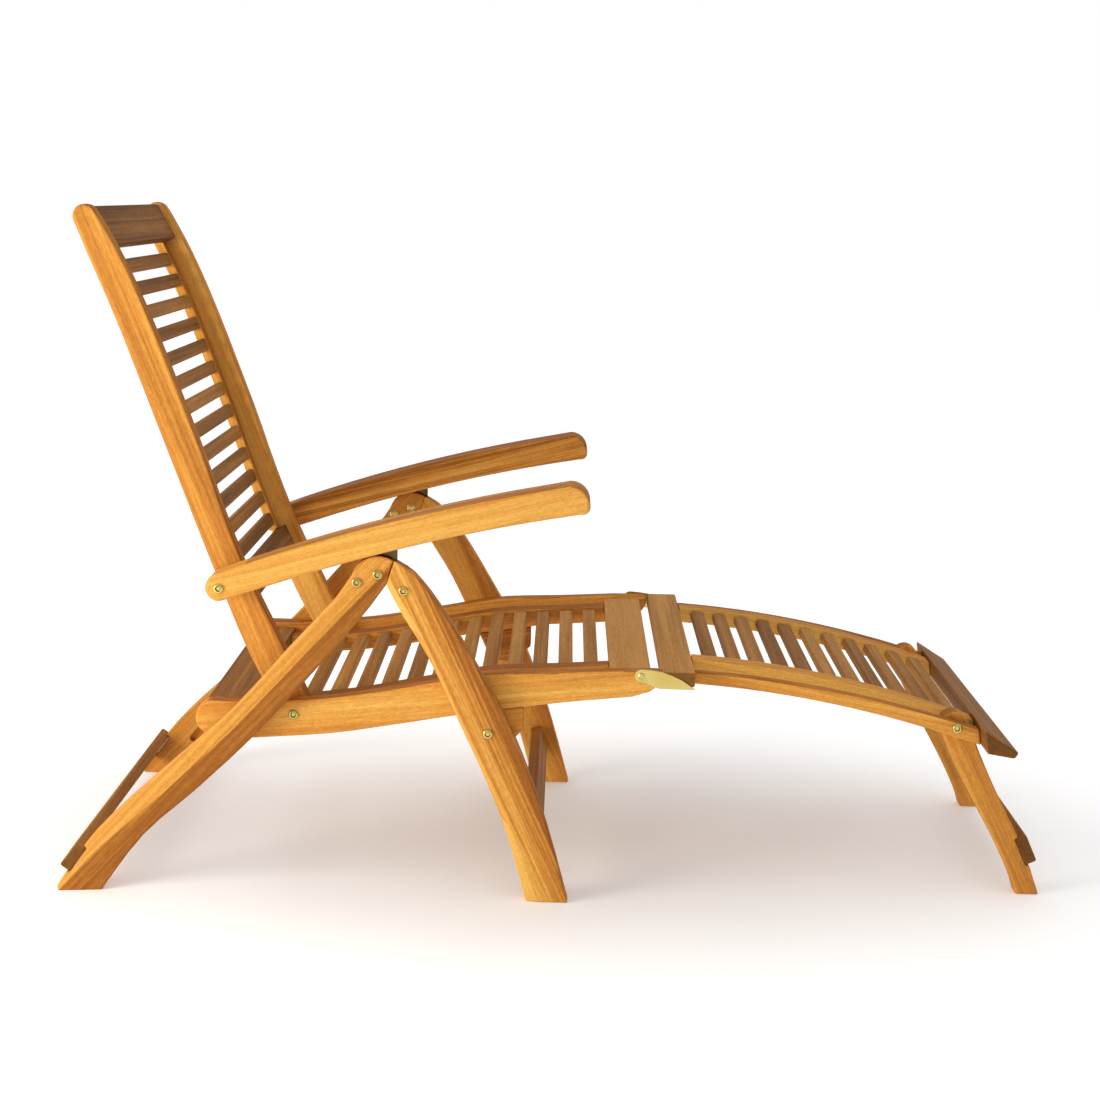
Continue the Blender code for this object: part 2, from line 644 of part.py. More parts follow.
def front_leg(sign):
    """Sabre-shaped front leg, chamfered along its back edge, kerfed at the crown."""
    seam = (CROWN_JOINT_TOP - CROWN_JOINT_FOOT).normalized()
    gap = -left_of(seam) * (FIT + TURNING_GAP) / 2
    seam_top = CROWN_JOINT_TOP + gap
    seam_foot = CROWN_JOINT_FOOT + gap
    seam_ridge = seam_foot.lerp(seam_top, FRONT_RIDGE_START)
    back = smooth([seam_foot] + beside_line(APEX_PIVOT, FRONT_FOOT, FRONT_LEG_BACK))
    ridge = smooth([seam_ridge] + beside_line(APEX_PIVOT, FRONT_FOOT, FRONT_LEG_RIDGE))
    front = smooth([seam_top] + beside_line(APEX_PIVOT, FRONT_FOOT, FRONT_LEG_FRONT))
    front.reverse()
    chamfer_start = HALF_WIDTH - FRONT_LEG_CHAMFER
    sections = (
        (back + front, sign * LEG_INNER),
        (back + front, sign * chamfer_start),
        (ridge + front, sign * HALF_WIDTH),
    )
    leg = cut_at_floor(loft(sections))
    cutters = [drill(pivot, BOLT_RADIUS, 0.0, sign * HALF_WIDTH * 2) for pivot in (APEX_PIVOT, SEAT_PIVOT)]
    clear = HINGE_PLATE_MARGIN + FIT
    above = Vector((0.0, TONGUE_TOP))
    kerf = arc(APEX_PIVOT, clear, -60.0, 0.0, 4)
    kerf += [kerf[-1] + above, APEX_PIVOT + above + Vector((-KERF_REACH, 0.0))]
    kerf.append(APEX_PIVOT + Vector((-KERF_REACH, -KERF_DROP)))
    half_kerf = HINGE_PLATE_THICKNESS / 2 + FIT
    cutters.append(slab(kerf, sign * (LEG_MIDDLE - half_kerf), sign * (LEG_MIDDLE + half_kerf)))
    return carved(leg, cutters)


def hinge_plate(sign):
    """Steel plate in the crown's kerf, bored for its bolts."""
    half = HINGE_PLATE_THICKNESS / 2
    low = sign * (LEG_MIDDLE - half)
    high = sign * (LEG_MIDDLE + half)
    plate = slab(hinge_plate_outline(HINGE_PLATE_MARGIN), low, high)
    centres = (APEX_PIVOT, APEX_PIVOT + FIXING_REAR, APEX_PIVOT + FIXING_FRONT)
    return carved(plate, [drill(centre, BOLT_RADIUS, 0.0, sign * HALF_WIDTH * 2) for centre in centres])


def front_stretcher():
    """Bar between the front legs' inner faces, along their middle line."""
    distance = FRONT_STRETCHER_SHARE * (FRONT_FOOT - APEX_PIVOT).length
    back = smooth(beside_line(APEX_PIVOT, FRONT_FOOT, FRONT_LEG_BACK))
    front = smooth(beside_line(APEX_PIVOT, FRONT_FOOT, FRONT_LEG_FRONT))
    back_point, back_tangent = edge_at(back, APEX_PIVOT, FRONT_LEG_AXIS, distance)
    front_point, front_tangent = edge_at(front, APEX_PIVOT, FRONT_LEG_AXIS, distance)
    reach = LEG_INNER - FIT
    return bar(
        (back_point + front_point) / 2, back_tangent + front_tangent,
        STRETCHER_WIDTH, STRETCHER_THICKNESS, -reach, reach,
    )


def make_legs():
    """Rear legs with their plates, and front legs with their stretcher."""
    for side, sign in SIDES:
        node("rear_leg_" + side, rear_leg(sign), "rear_legs", GOLDEN_WOOD)
        node("front_leg_" + side, front_leg(sign), "front_legs", GOLDEN_WOOD)
        metal_node("hinge_plate_" + side, hinge_plate(sign), "rear_legs")
        for place, fixing in (("rear", FIXING_REAR), ("front", FIXING_FRONT)):
            fixing_bolt = bolt(APEX_PIVOT + fixing, HALF_WIDTH, None, sign, nut_face=LEG_INNER)
            metal_node("crown_bolt_" + place + "_" + side, fixing_bolt, "rear_legs")
        crown_pivot = bolt(APEX_PIVOT, HALF_WIDTH, None, sign, nut_face=LEG_INNER)
        metal_node("leg_pivot_bolt_" + side, crown_pivot, "rear_legs")
        seat_tip = RAIL_INNER + BLIND_HOLE_WALL
        metal_node("seat_pivot_bolt_" + side, bolt(SEAT_PIVOT, HALF_WIDTH, seat_tip, sign), "front_legs")
        spacer_ends = (sign * (RAIL_OUTER + FIT), sign * (LEG_INNER - FIT))
        spacer = ring(SEAT_PIVOT, SPACER_RADIUS, BOLT_RADIUS, *spacer_ends)
        metal_node("seat_pivot_spacer_" + side, spacer, "front_legs")
    node("rear_stretcher", REAR_STRETCHER(0.0), "rear_legs", BROWN_WOOD)
    node("front_stretcher", front_stretcher(), "front_legs", BROWN_WOOD)


# Pieces of the seat

def seat_rail(sign):
    """Curved seat rail, round at the rear, bored for its pivots and guide pin."""
    outline = arc(SEAT_REAR, SEAT_REAR_RADIUS, 90.0, 270.0, 10)
    outline += RAIL_BOTTOM_EDGE
    outline += arc(FOOTREST_PIVOT, SEAT_NOSE_RADIUS, SEAT_NOSE_START, SEAT_NOSE_END, 8)
    outline += list(reversed(RAIL_TOP_EDGE))
    rail = slab(outline, sign * RAIL_INNER, sign * RAIL_OUTER)
    blind = sign * (RAIL_INNER + BLIND_HOLE_WALL - FIT)
    cutters = [
        drill(BACK_PIVOT, BOLT_RADIUS, 0.0, sign * HALF_WIDTH),
        drill(FOOTREST_PIVOT, RIVET_RADIUS, blind, sign * HALF_WIDTH),
        drill(GUIDE_PIN, GUIDE_PIN_RADIUS, blind, sign * HALF_WIDTH),
    ]
    return carved(rail, cutters)


def seat_lug(sign):
    """Block under the seat rail that carries the pivot on the front leg."""
    left = SEAT_PIVOT.x - LUG_REAR_REACH
    right = SEAT_PIVOT.x + LUG_FRONT_REACH
    steps = 4
    top = [left + (right - left) * step / steps for step in range(steps + 1)]
    outline = [Vector((x, height_at(RAIL_BOTTOM_EDGE, x) - FIT)) for x in reversed(top)]
    outline += smooth([SEAT_PIVOT + Vector(offset) for offset in LUG_BELOW_PIVOT])
    lug = slab(outline, sign * RAIL_INNER, sign * RAIL_OUTER)
    blind = sign * (RAIL_INNER + BLIND_HOLE_WALL - FIT)
    return carved(lug, [drill(SEAT_PIVOT, BOLT_RADIUS, blind, sign * HALF_WIDTH)])


def seat_front_board_corners():
    """Top rear, top front, bottom front and bottom rear corner of the seat's front board."""
    rear = SEAT_FRONT_BOARD_REAR
    front = rear + SEAT_FRONT_BOARD_WIDTH
    rear_top = Vector((rear, height_at(RAIL_TOP_EDGE, rear) - SEAT_FRONT_BOARD_DROP))
    front_top = Vector((front, height_at(RAIL_TOP_EDGE, RAIL_TOP_EDGE[-1].x) - SEAT_FRONT_BOARD_DROP))
    down = Vector((0.0, SEAT_FRONT_BOARD_THICKNESS))
    return [rear_top, front_top, front_top - down, rear_top - down]


def seat_bearer_top(x):
    """Height of the seat bearers' top edge at x."""
    share = (x - SEAT_REAR.x) / (SEAT_FRONT_BOARD_REAR - SEAT_REAR.x)
    drop = SEAT_BEARER_DROP_REAR + (SEAT_BEARER_DROP_FRONT - SEAT_BEARER_DROP_REAR) * share
    return height_at(RAIL_TOP_EDGE, x) - drop


def slat(centre, tangent, reach):
    """One slat, tenoned into the bearers on both sides."""
    return bar(centre, tangent, SLAT_WIDTH, SLAT_THICKNESS, -reach - SLAT_TENON, reach + SLAT_TENON)


def ladder(bearer_outline, inner, outer, slats):
    """Two bearers joined by their slats into one body."""
    bearers = merged([slab(bearer_outline, sign * inner, sign * outer) for _, sign in SIDES])
    return combined(bearers, [merged(slats)], "UNION")


def seat_ladder():
    """Seat slats between the two curved bearers, which stop at the rear board."""
    rear = SEAT_REAR_BOARD_REAR + SEAT_REAR_BOARD_WIDTH + FIT
    step = SEAT_FRONT_BOARD_REAR - FIT
    steps = 14
    stations = [rear + (step - rear) * index / steps for index in range(steps + 1)]
    board = seat_front_board_corners()
    top = [Vector((x, seat_bearer_top(x))) for x in stations]
    shelf = [board[3] + Vector((-FIT, -FIT)), board[2] + Vector((0.0, -FIT))]
    below = [Vector((x, seat_bearer_top(x) - SEAT_BEARER_DEPTH)) for x in stations]
    below.append(shelf[-1] - Vector((0.0, SEAT_BEARER_DEPTH - SEAT_FRONT_BOARD_THICKNESS)))
    outline = top + shelf + list(reversed(below))
    first_slat = SEAT_FRONT_BOARD_REAR - SEAT_FIRST_SLAT
    last_slat = SEAT_REAR_BOARD_REAR + SEAT_REAR_BOARD_WIDTH + SEAT_LAST_SLAT_INSET
    slats = []
    for index in range(SEAT_SLATS):
        x = first_slat + (last_slat - first_slat) * index / (SEAT_SLATS - 1)
        rise = seat_bearer_top(x + SLAT_WIDTH / 2) - seat_bearer_top(x - SLAT_WIDTH / 2)
        tangent = Vector((SLAT_WIDTH, rise)).normalized()
        surface = Vector((x, seat_bearer_top(x)))
        centre = surface - left_of(tangent) * (SLAT_RECESS + SLAT_THICKNESS / 2)
        slats.append(slat(centre, tangent, SEAT_BEARER_INNER))
    return ladder(outline, SEAT_BEARER_INNER, SEAT_BEARER_OUTER, slats)


def make_seat():
    """Seat rails with their lugs, boards, slats and guide pins."""
    reach = RAIL_INNER - FIT
    for side, sign in SIDES:
        node("seat_rail_" + side, seat_rail(sign), "seat", GOLDEN_WOOD)
        node("seat_lug_" + side, seat_lug(sign), "seat", GOLDEN_WOOD)
        pin_tip = RAIL_INNER + BLIND_HOLE_WALL
        pin = turned(
            ((GUIDE_PIN_RADIUS, sign * pin_tip), (GUIDE_PIN_RADIUS, sign * (LEG_INNER - FIT))), GUIDE_PIN
        )
        metal_node("guide_pin_" + side, pin, "seat")
        back_bolt = bolt(BACK_PIVOT, RAIL_OUTER, None, sign, nut_face=STILE_INNER)
        metal_node("back_pivot_bolt_" + side, back_bolt, "back_pivots")
    node("seat_front_board", slab(seat_front_board_corners(), -reach, reach), "seat", BROWN_WOOD)
    rear_centre = Vector((
        SEAT_REAR_BOARD_REAR + SEAT_REAR_BOARD_WIDTH / 2,
        SEAT_REAR_BOARD_TOP - SEAT_REAR_BOARD_THICKNESS / 2,
    ))
    rear_board = bar(
        rear_centre, Vector((1.0, 0.0)), SEAT_REAR_BOARD_WIDTH, SEAT_REAR_BOARD_THICKNESS, -reach, reach
    )
    node("seat_rear_board", rear_board, "seat", BROWN_WOOD)
    node("seat_slats", seat_ladder(), "seat", BROWN_WOOD)


# Pieces of the back

def back_stile(sign):
    """Slightly curved stile, round at both ends, bored for its two pivots."""
    heading = math.degrees(math.atan2(BACK_AXIS.y, BACK_AXIS.x))
    outline = arc(BACK_PIVOT, BACK_FOOT_RADIUS, heading + 90.0, heading + 270.0, 10)
    outline += STILE_FRONT_EDGE
    outline += arc(BACK_TOP, BACK_TOP_RADIUS, heading - 90.0, heading + 90.0, 8)
    outline += list(reversed(STILE_BACK_EDGE))
    stile = slab(outline, sign * STILE_INNER, sign * STILE_OUTER)
    blind = sign * (STILE_INNER + BLIND_HOLE_WALL - FIT)
    cutters = [
        drill(BACK_PIVOT, BOLT_RADIUS, 0.0, sign * HALF_WIDTH),
        drill(ARM_PIVOT, BOLT_RADIUS, blind, sign * HALF_WIDTH),
    ]
    return carved(stile, cutters)


def back_point(distance, recess):
    """Point behind the stiles' front edge at a distance from the back's pivot, and its tangent."""
    point, tangent = edge_at(STILE_FRONT_EDGE, BACK_PIVOT, BACK_AXIS, distance)
    return point + left_of(tangent) * recess, tangent


def back_rail(start, width, recess):
    """Wide rail between the stiles, set behind their front edge."""
    reach = STILE_INNER - FIT
    centre, tangent = back_point(start + width / 2, recess + BACK_RAIL_THICKNESS / 2)
    return bar(centre, tangent, width, BACK_RAIL_THICKNESS, -reach, reach)


def back_ladder():
    """Back slats between two bearers fixed to the stiles."""
    start = BACK_LADDER_START + FIT
    end = BACK_LADDER_END - FIT
    steps = 10
    stations = [start + (end - start) * index / steps for index in range(steps + 1)]
    face = [back_point(distance, BACK_BEARER_RECESS)[0] for distance in stations]
    rear = [back_point(distance, BACK_BEARER_RECESS + BACK_BEARER_DEPTH)[0] for distance in stations]
    first = BACK_LADDER_START + BACK_FIRST_SLAT
    pitch = (BACK_LADDER_END - BACK_LAST_SLAT_INSET - first) / (BACK_SLATS - 1)
    slats = []
    for index in range(BACK_SLATS):
        recess = BACK_BEARER_RECESS + BACK_SLAT_RECESS + SLAT_THICKNESS / 2
        centre, tangent = back_point(first + pitch * index, recess)
        slats.append(slat(centre, tangent, BACK_BEARER_INNER))
    return ladder(face + list(reversed(rear)), BACK_BEARER_INNER, BACK_BEARER_OUTER, slats)


def make_back():
    """Stiles, rails and slats of the back."""
    for side, sign in SIDES:
        node("back_stile_" + side, back_stile(sign), "back", GOLDEN_WOOD)
    top_rail = back_rail(BACK_LADDER_END, BACK_TOP_RAIL_WIDTH, BACK_TOP_RAIL_RECESS)
    node("back_top_rail", top_rail, "back", BROWN_WOOD)
    bottom_start = BACK_LADDER_START - BACK_BOTTOM_RAIL_WIDTH
    bottom_rail = back_rail(bottom_start, BACK_BOTTOM_RAIL_WIDTH, BACK_BOTTOM_RAIL_RECESS)
    node("back_bottom_rail", bottom_rail, "back", BROWN_WOOD)
    node("back_slats", back_ladder(), "back", BROWN_WOOD)


# Armrests

def armrest(sign):
    """Bowed armrest, round at its pivot, with a groove below for the hinge plate's tongue."""
    length = (ARMREST_TIP - ARM_PIVOT).length
    up = left_of(ARMREST_AXIS)
    upper = []
    lower = []
    for index in range(ARMREST_STATIONS + 1):
        share = index / ARMREST_STATIONS
        centre = ARM_PIVOT + ARMREST_AXIS * length * share + up * 4 * ARMREST_BOW * share * (1 - share)
        half = ARMREST_REAR_HALF_DEPTH + (ARMREST_FRONT_HALF_DEPTH - ARMREST_REAR_HALF_DEPTH) * share
        upper.append(centre + up * half)
        lower.append(centre - up * half)
    front = ARMREST_TIP.x + ARMREST_NOSE
    top_centre = Vector((front - ARMREST_NOSE_TOP_RADIUS, upper[-1].y - ARMREST_NOSE_TOP_RADIUS))
    foot_centre = Vector((front - ARMREST_NOSE_BOTTOM_RADIUS, lower[-1].y + ARMREST_NOSE_BOTTOM_RADIUS))
    upper = [point for point in upper if point.x < top_centre.x]
    lower = [point for point in lower if point.x < foot_centre.x]
    heading = math.degrees(math.atan2(up.y, up.x))
    outline = arc(ARM_PIVOT, ARMREST_REAR_HALF_DEPTH, heading + 15.0, heading + 165.0, 8)
    outline += lower[1:]
    outline += arc(foot_centre, ARMREST_NOSE_BOTTOM_RADIUS, -90.0, 0.0, 4)
    outline += arc(top_centre, ARMREST_NOSE_TOP_RADIUS, 0.0, 90.0, 6)
    outline += list(reversed(upper[1:]))
    rest = slab(outline, sign * ARMREST_INNER, sign * ARMREST_OUTER)
    tongue = Vector((APEX_PIVOT.x + TONGUE_FROM_PIVOT, APEX_PIVOT.y + TONGUE_TOP))
    ceiling = (tongue - ARM_PIVOT).normalized()
    above = left_of(ceiling)
    corners = [
        ARM_PIVOT + ceiling * GROOVE_START + above * GROOVE_HEADROOM,
        ARM_PIVOT + ceiling * GROOVE_END + above * GROOVE_HEADROOM,
        ARM_PIVOT + ceiling * GROOVE_END - above * ARMREST_WIDTH,
        ARM_PIVOT + ceiling * GROOVE_START - above * ARMREST_WIDTH,
    ]
    half_groove = GROOVE_WIDTH / 2
    groove = slab(corners, sign * (LEG_MIDDLE - half_groove), sign * (LEG_MIDDLE + half_groove))
    return carved(rest, [drill(ARM_PIVOT, BOLT_RADIUS, 0.0, sign * ARMREST_OUTER * 2), groove])


def make_armrests():
    """Armrests on their pivot bolts and washers."""
    for side, sign in SIDES:
        node("armrest_" + side, armrest(sign), "armrests", GOLDEN_WOOD)
        tip = STILE_INNER + BLIND_HOLE_WALL
        metal_node("arm_pivot_bolt_" + side, bolt(ARM_PIVOT, ARMREST_OUTER, tip, sign), "arm_pivots")
        washer = ring(
            ARM_PIVOT, WASHER_RADIUS, BOLT_RADIUS,
            sign * (STILE_OUTER + FIT), sign * (ARMREST_INNER - FIT),
        )
        metal_node("arm_pivot_washer_" + side, washer, "arm_pivots")


# Pieces of the footrest

def end_board_corners():
    """Top rear, top front, bottom front and bottom rear corner of the footrest's end board."""
    angle = math.radians(-END_BOARD_TILT)
    along = Vector((math.cos(angle), math.sin(angle)))
    down = -left_of(along)
    rear_top = Vector((FOOTREST_END_X, footrest_top(FOOTREST_END_X) + END_BOARD_RISE))
    front_top = rear_top + along * END_BOARD_WIDTH
    return [
        rear_top,
        front_top,
        front_top + down * END_BOARD_FRONT_THICKNESS,
        rear_top + down * END_BOARD_REAR_THICKNESS + along * END_BOARD_REAR_CUT,
    ]


def footrest_bar(rise, dip):
    """Outline of an arched rail or bearer up to the end board, its top dipping at the first board."""
    corners = end_board_corners()
    rear_face = corners[3] - corners[0]
    steps = FOOTREST_CURVE_STEPS
    run = FOOTREST_LENGTH - FIT
    top = []
    below = []
    for index in range(steps + 1):
        share = index / steps
        x = FOOTREST_START_X + run * share
        top.append(Vector((x, footrest_top(x) + rise - dip * (1 - share ** 2))))
        below.append(Vector((x, footrest_top(x) + rise - FOOTREST_RAIL_DEPTH)))
    shift = Vector((-FIT, 0.0))
    slope = rear_face.x / rear_face.y
    top[-1] = corners[0] + shift + Vector((slope, 1.0)) * (top[-1].y - corners[0].y)
    reach = max(below[-1].y, corners[3].y)
    end = corners[0] + shift + Vector((slope, 1.0)) * (reach - corners[0].y)
    return top + [end, Vector((end.x, below[-1].y))] + list(reversed(below[:-1]))


def footrest_rail(sign):
    """Arched outer rail of the footrest, bored for the leg's bolt."""
    outline = footrest_bar(0.0, FOOTREST_RAIL_DIP)
    rail = slab(outline, sign * FOOTREST_RAIL_INNER, sign * FOOTREST_RAIL_OUTER)
    return carved(rail, [drill(FOOTREST_LEG_PIVOT, BOLT_RADIUS, 0.0, sign * HALF_WIDTH)])


def footrest_ladder():
    """Footrest slats between two arched bearers, bored blind for the legs' bolts."""
    slats = []
    for index in range(FOOTREST_SLATS):
        x = FOOTREST_START_X + FOOTREST_FIRST_SLAT + FOOTREST_SLAT_RUN * index / (FOOTREST_SLATS - 1)
        rise = footrest_top(x + SLAT_WIDTH / 2) - footrest_top(x - SLAT_WIDTH / 2)
        tangent = Vector((SLAT_WIDTH, rise)).normalized()
        surface = Vector((x, footrest_top(x) + FOOTREST_BEARER_RISE))
        centre = surface - left_of(tangent) * (SLAT_RECESS + SLAT_THICKNESS / 2)
        slats.append(slat(centre, tangent, FOOTREST_BEARER_INNER))
    outline = footrest_bar(FOOTREST_BEARER_RISE, 0.0)
    whole = ladder(outline, FOOTREST_BEARER_INNER, FOOTREST_BEARER_OUTER, slats)
    blind = FOOTREST_BEARER_OUTER - FOOTREST_BEARER_THICKNESS / 2 - FIT
    return carved(whole, [
        drill(FOOTREST_LEG_PIVOT, BOLT_RADIUS, sign * blind, sign * HALF_WIDTH) for _, sign in SIDES
    ])


def footrest_leg(sign):
    """Folding leg of the footrest, round at its pivot, notched for the stretcher."""
    heading = math.degrees(math.atan2(FOOTREST_LEG_AXIS.y, FOOTREST_LEG_AXIS.x))
    back = smooth(beside_line(FOOTREST_LEG_PIVOT, FOOTREST_LEG_FOOT, FOOTREST_LEG_BACK))
    outline = arc(FOOTREST_LEG_PIVOT, FOOTREST_LEG_HEAD_RADIUS, heading + 90.0, heading + 270.0, 10)
    outline += back + list(reversed(FOOTREST_LEG_FRONT_EDGE))
    leg = cut_at_floor(slab(outline, sign * FOOTREST_LEG_INNER, sign * FOOTREST_LEG_OUTER))
    bore = drill(FOOTREST_LEG_PIVOT, BOLT_RADIUS, 0.0, sign * HALF_WIDTH)
    return carved(leg, [bore, FOOTREST_STRETCHER(FIT)])


def leaf_plate(sign):
    """Leaf-shaped plate from the seat rail's pivot to the end of the first board."""
    outline = arc(FOOTREST_PIVOT, LEAF_PLATE_RADIUS, 90.0, 235.0, 6)
    shape = [FOOTREST_PIVOT + Vector(offset) for offset in LEAF_PLATE_SHAPE]
    outline += list(reversed(shape))
    plate = slab(outline, sign * LEAF_PLATE_INNER, sign * LEAF_PLATE_OUTER)
    return carved(plate, [drill(FOOTREST_PIVOT, RIVET_RADIUS, 0.0, sign * HALF_WIDTH)])


def plate_rivet(sign):
    """Low-headed rivet that the leaf plate turns on, ending inside the seat rail."""
    seat = LEAF_PLATE_OUTER + FIT
    top = seat + RIVET_HEAD_HEIGHT
    profile = (
        (RIVET_HEAD_FLAT_RADIUS, top),
        (RIVET_HEAD_RADIUS, seat + RIVET_HEAD_RIM),
        (RIVET_HEAD_RADIUS, seat),
        (RIVET_RADIUS, seat),
        (RIVET_RADIUS, RAIL_INNER + BLIND_HOLE_WALL),
    )
    return turned([(radius, sign * y) for radius, y in profile], FOOTREST_PIVOT)


def make_footrest():
    """Hinged footrest with its plates, slats and folding legs."""
    for side, sign in SIDES:
        node("footrest_rail_" + side, footrest_rail(sign), "footrest", GOLDEN_WOOD)
        node("footrest_leg_" + side, footrest_leg(sign), "footrest_legs", GOLDEN_WOOD)
        metal_node("leaf_plate_" + side, leaf_plate(sign), "footrest")
        metal_node("plate_rivet_" + side, plate_rivet(sign), "seat")
        tip = FOOTREST_BEARER_OUTER - FOOTREST_BEARER_THICKNESS / 2
        leg_bolt = bolt(FOOTREST_LEG_PIVOT, FOOTREST_RAIL_OUTER, tip, sign)
        metal_node("footrest_leg_bolt_" + side, leg_bolt, "footrest")
    board_rear = FOOTREST_PIVOT.x + FIRST_BOARD_REACH
    board_top = FOOTREST_PIVOT.y + FIRST_BOARD_RISE
    board_centre = Vector((board_rear + FIRST_BOARD_WIDTH / 2, board_top - FIRST_BOARD_THICKNESS / 2))
    first_board = bar(
        board_centre, Vector((1.0, 0.0)), FIRST_BOARD_WIDTH, FIRST_BOARD_THICKNESS, -RAIL_OUTER, RAIL_OUTER
    )
    node("footrest_first_board", first_board, "footrest", BROWN_WOOD)
    end_reach = FOOTREST_RAIL_OUTER + END_BOARD_OVERHANG
    node("footrest_end_board", slab(end_board_corners(), -end_reach, end_reach), "footrest", BROWN_WOOD)
    node("footrest_slats", footrest_ladder(), "footrest", BROWN_WOOD)
    node("footrest_leg_stretcher", FOOTREST_STRETCHER(0.0), "footrest_legs", BROWN_WOOD)


for old in list(bpy.data.objects):
    bpy.data.objects.remove(old)
PIVOTS = make_pivots()
make_legs()
make_seat()
make_back()
make_armrests()
make_footrest()
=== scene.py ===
"""Looks of a folding wooden sun lounger: oiled acacia timber with yellow zinc-plated fittings.

Metres, +Z up, +X towards the footrest, the near side of the photograph at -Y.
Each timber is a copy of its CAD node with its edges eased and its own run of grain.
"""
import json
import math
import random

import bmesh
import bpy
import numpy as np
from mathutils import Matrix, Vector


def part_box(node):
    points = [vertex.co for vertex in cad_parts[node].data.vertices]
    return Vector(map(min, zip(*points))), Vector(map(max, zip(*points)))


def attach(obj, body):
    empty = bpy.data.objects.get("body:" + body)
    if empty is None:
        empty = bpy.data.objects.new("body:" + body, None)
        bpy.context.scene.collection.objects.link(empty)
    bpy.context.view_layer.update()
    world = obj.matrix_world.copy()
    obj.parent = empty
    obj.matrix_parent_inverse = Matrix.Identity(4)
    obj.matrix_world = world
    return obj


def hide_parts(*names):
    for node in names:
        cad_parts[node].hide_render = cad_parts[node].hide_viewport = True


# Eased edges: radii, how deep the legs' chamfers lie behind their side faces, and what counts as an edge
LEG_EASE = 0.0026
STILE_EASE = 0.0045
ARMREST_EASE = 0.0050
RAIL_EASE = 0.0030
BOARD_EASE = 0.0030
BEARER_EASE = 0.0015
SLAT_EASE = 0.0030
PLATE_EASE = 0.0004
CHAMFER_REACH = 0.0072
EASE_STEPS = 3
SHARP_ANGLE = 28.0
RIDGE_ANGLE = 6.0
FLAT_ANGLE = 0.6
METAL_ANGLE = 40.0
MERGE_DISTANCE = 0.00001
SHORT_EDGE = 0.0018
RIM_REACH = 0.0002

# How squarely a face looks to the side: a side face, a chamfer, and either of them when eased
SIDE_FACE = 0.99
CHAMFER_FACE = 0.9
EASED_FACE = 0.8

# Bearers that carry the slats: their width across the chair, and half the joint between slat and bearer
SEAT_BEARER = 0.030
BACK_BEARER = 0.022
FOOTREST_BEARER = 0.032
SLAT_JOINT = 0.0002

# How far the back's bearers run on behind the top rail, and what counts as their end
BEARER_LAP = 0.008
BEARER_END = 0.005

# Bolts: a low dome with a six-sided drive socket; shares are of the head's or the nut's own size
BORE_RADIUS = 0.0046
HEAD_HEIGHT = 0.0030
HEAD_UPRIGHT_SHARE = 0.25
DOME_STEPS = 6
SHANK_RADIUS = 0.0040
NUT_HEIGHT = 0.0025
NUT_CHAMFER_SHARE = 0.3
NUT_TIP_SHARE = 0.85
SOCKET_SIDES = 6
SOCKET_SHARE = 0.58
SOCKET_FLOOR_SHARE = 0.42
SOCKET_RIM = 0.0003
SOCKET_DEPTH = 0.0019
HEAD_SIDES = 36

# Grain of the timber, in real sizes
STREAK_LENGTH = 0.42
STREAK_WIDTH = 0.0060
BAND_LENGTH = 0.90
BAND_WIDTH = 0.030
FIBRE_LENGTH = 0.060
FIBRE_WIDTH = 0.0017
PORE_LENGTH = 0.0060
PORE_WIDTH = 0.0012
MOTTLE_LENGTH = 0.016
MOTTLE_WIDTH = 0.0060
NOISE_SPREAD = (0.32, 0.68)
NOISE_ROUGHNESS = 0.6
PLAIN_DETAIL = 1.0
MIDDLE_DETAIL = 2.0
FINE_DETAIL = 3.0

# Run of the grain: which way it heads, when a timber counts as lying across the chair, and how far one
# timber's grain may lie from another's
GRAIN_HEADING = (0.01, 0.0001, 1.0)
ACROSS_CHAIR = 0.5
GRAIN_SHIFT = (20.0, 9.0, 9.0)

# How far each part of the grain moves the tone, and how it lightens or darkens the surface
STREAK_DEPTH = 0.5
BAND_DEPTH = 0.14
MOTTLE_DEPTH = 0.05
FIBRE_LIGHT = (0.90, 1.08)
PORE_LIGHT = (1.10, 0.86)
TONE_STOPS = (0.10, 0.50, 0.95)

# End grain: how squarely a face is cut across the timber, and how much of the end colour it takes
END_CUT = (0.55, 0.95)
END_SHARE = 0.75

# Oil finish: surface light from pore to fibre, its roughness, relief and gloss
SURFACE_LIGHT = (0.7, 1.2)
OIL_ROUGHNESS = (0.68, 0.52)
GRAIN_RELIEF = 0.0005
RELIEF_STRENGTH = 0.30
OIL_IOR = 1.47
OIL_GLOSS = 0.05

# Zinc plating: its clouds of colour, and its scuffs, which make it duller
CLOUD_SIZE = 0.045
CLOUD_STOPS = (0.30, 0.50, 0.70)
SCUFF_SIZE = 0.0025
SCUFF_SPREAD = (0.3, 0.7)
ZINC_ROUGHNESS = (0.18, 0.30)

# How dark each timber is, from pale sapwood at 0 to heartwood at 1
TONE = {
    "back_stile": 0.60, "armrest": 0.38, "rear_leg": 0.55, "front_leg": 0.50, "seat_rail": 0.36,
    "seat_lug": 0.45, "footrest_rail": 0.55, "footrest_leg": 0.62,
}
# The far side's tones are partly painted light and shade: far timbers are drawn darker or paler than the near
# ones for how light falls on the far side, as well as for their wood.
FAR_TONE_AND_SHADING = {
    "back_stile": 0.42, "armrest": 0.70, "rear_leg": 0.55, "front_leg": 0.40, "seat_rail": 0.55,
    "seat_lug": 0.85, "footrest_rail": 0.60, "footrest_leg": 0.50,
}
BOARD_TONE = {
    "rear_stretcher": 0.45, "front_stretcher": 0.50, "footrest_leg_stretcher": 0.60, "seat_front_board": 0.10,
    "seat_rear_board": 0.60, "back_top_rail": 0.80, "back_bottom_rail": 0.75, "footrest_first_board": 0.15,
    "footrest_end_board": 0.58,
}
SEAT_TONES = (0.22, 0.58)
BACK_TONES = (0.40, 0.80)
FOOTREST_TONES = (0.35, 0.70)
SEAT_BEARER_TONE = 0.65
BACK_BEARER_TONE = 0.45
FOOTREST_BEARER_TONE = 0.10

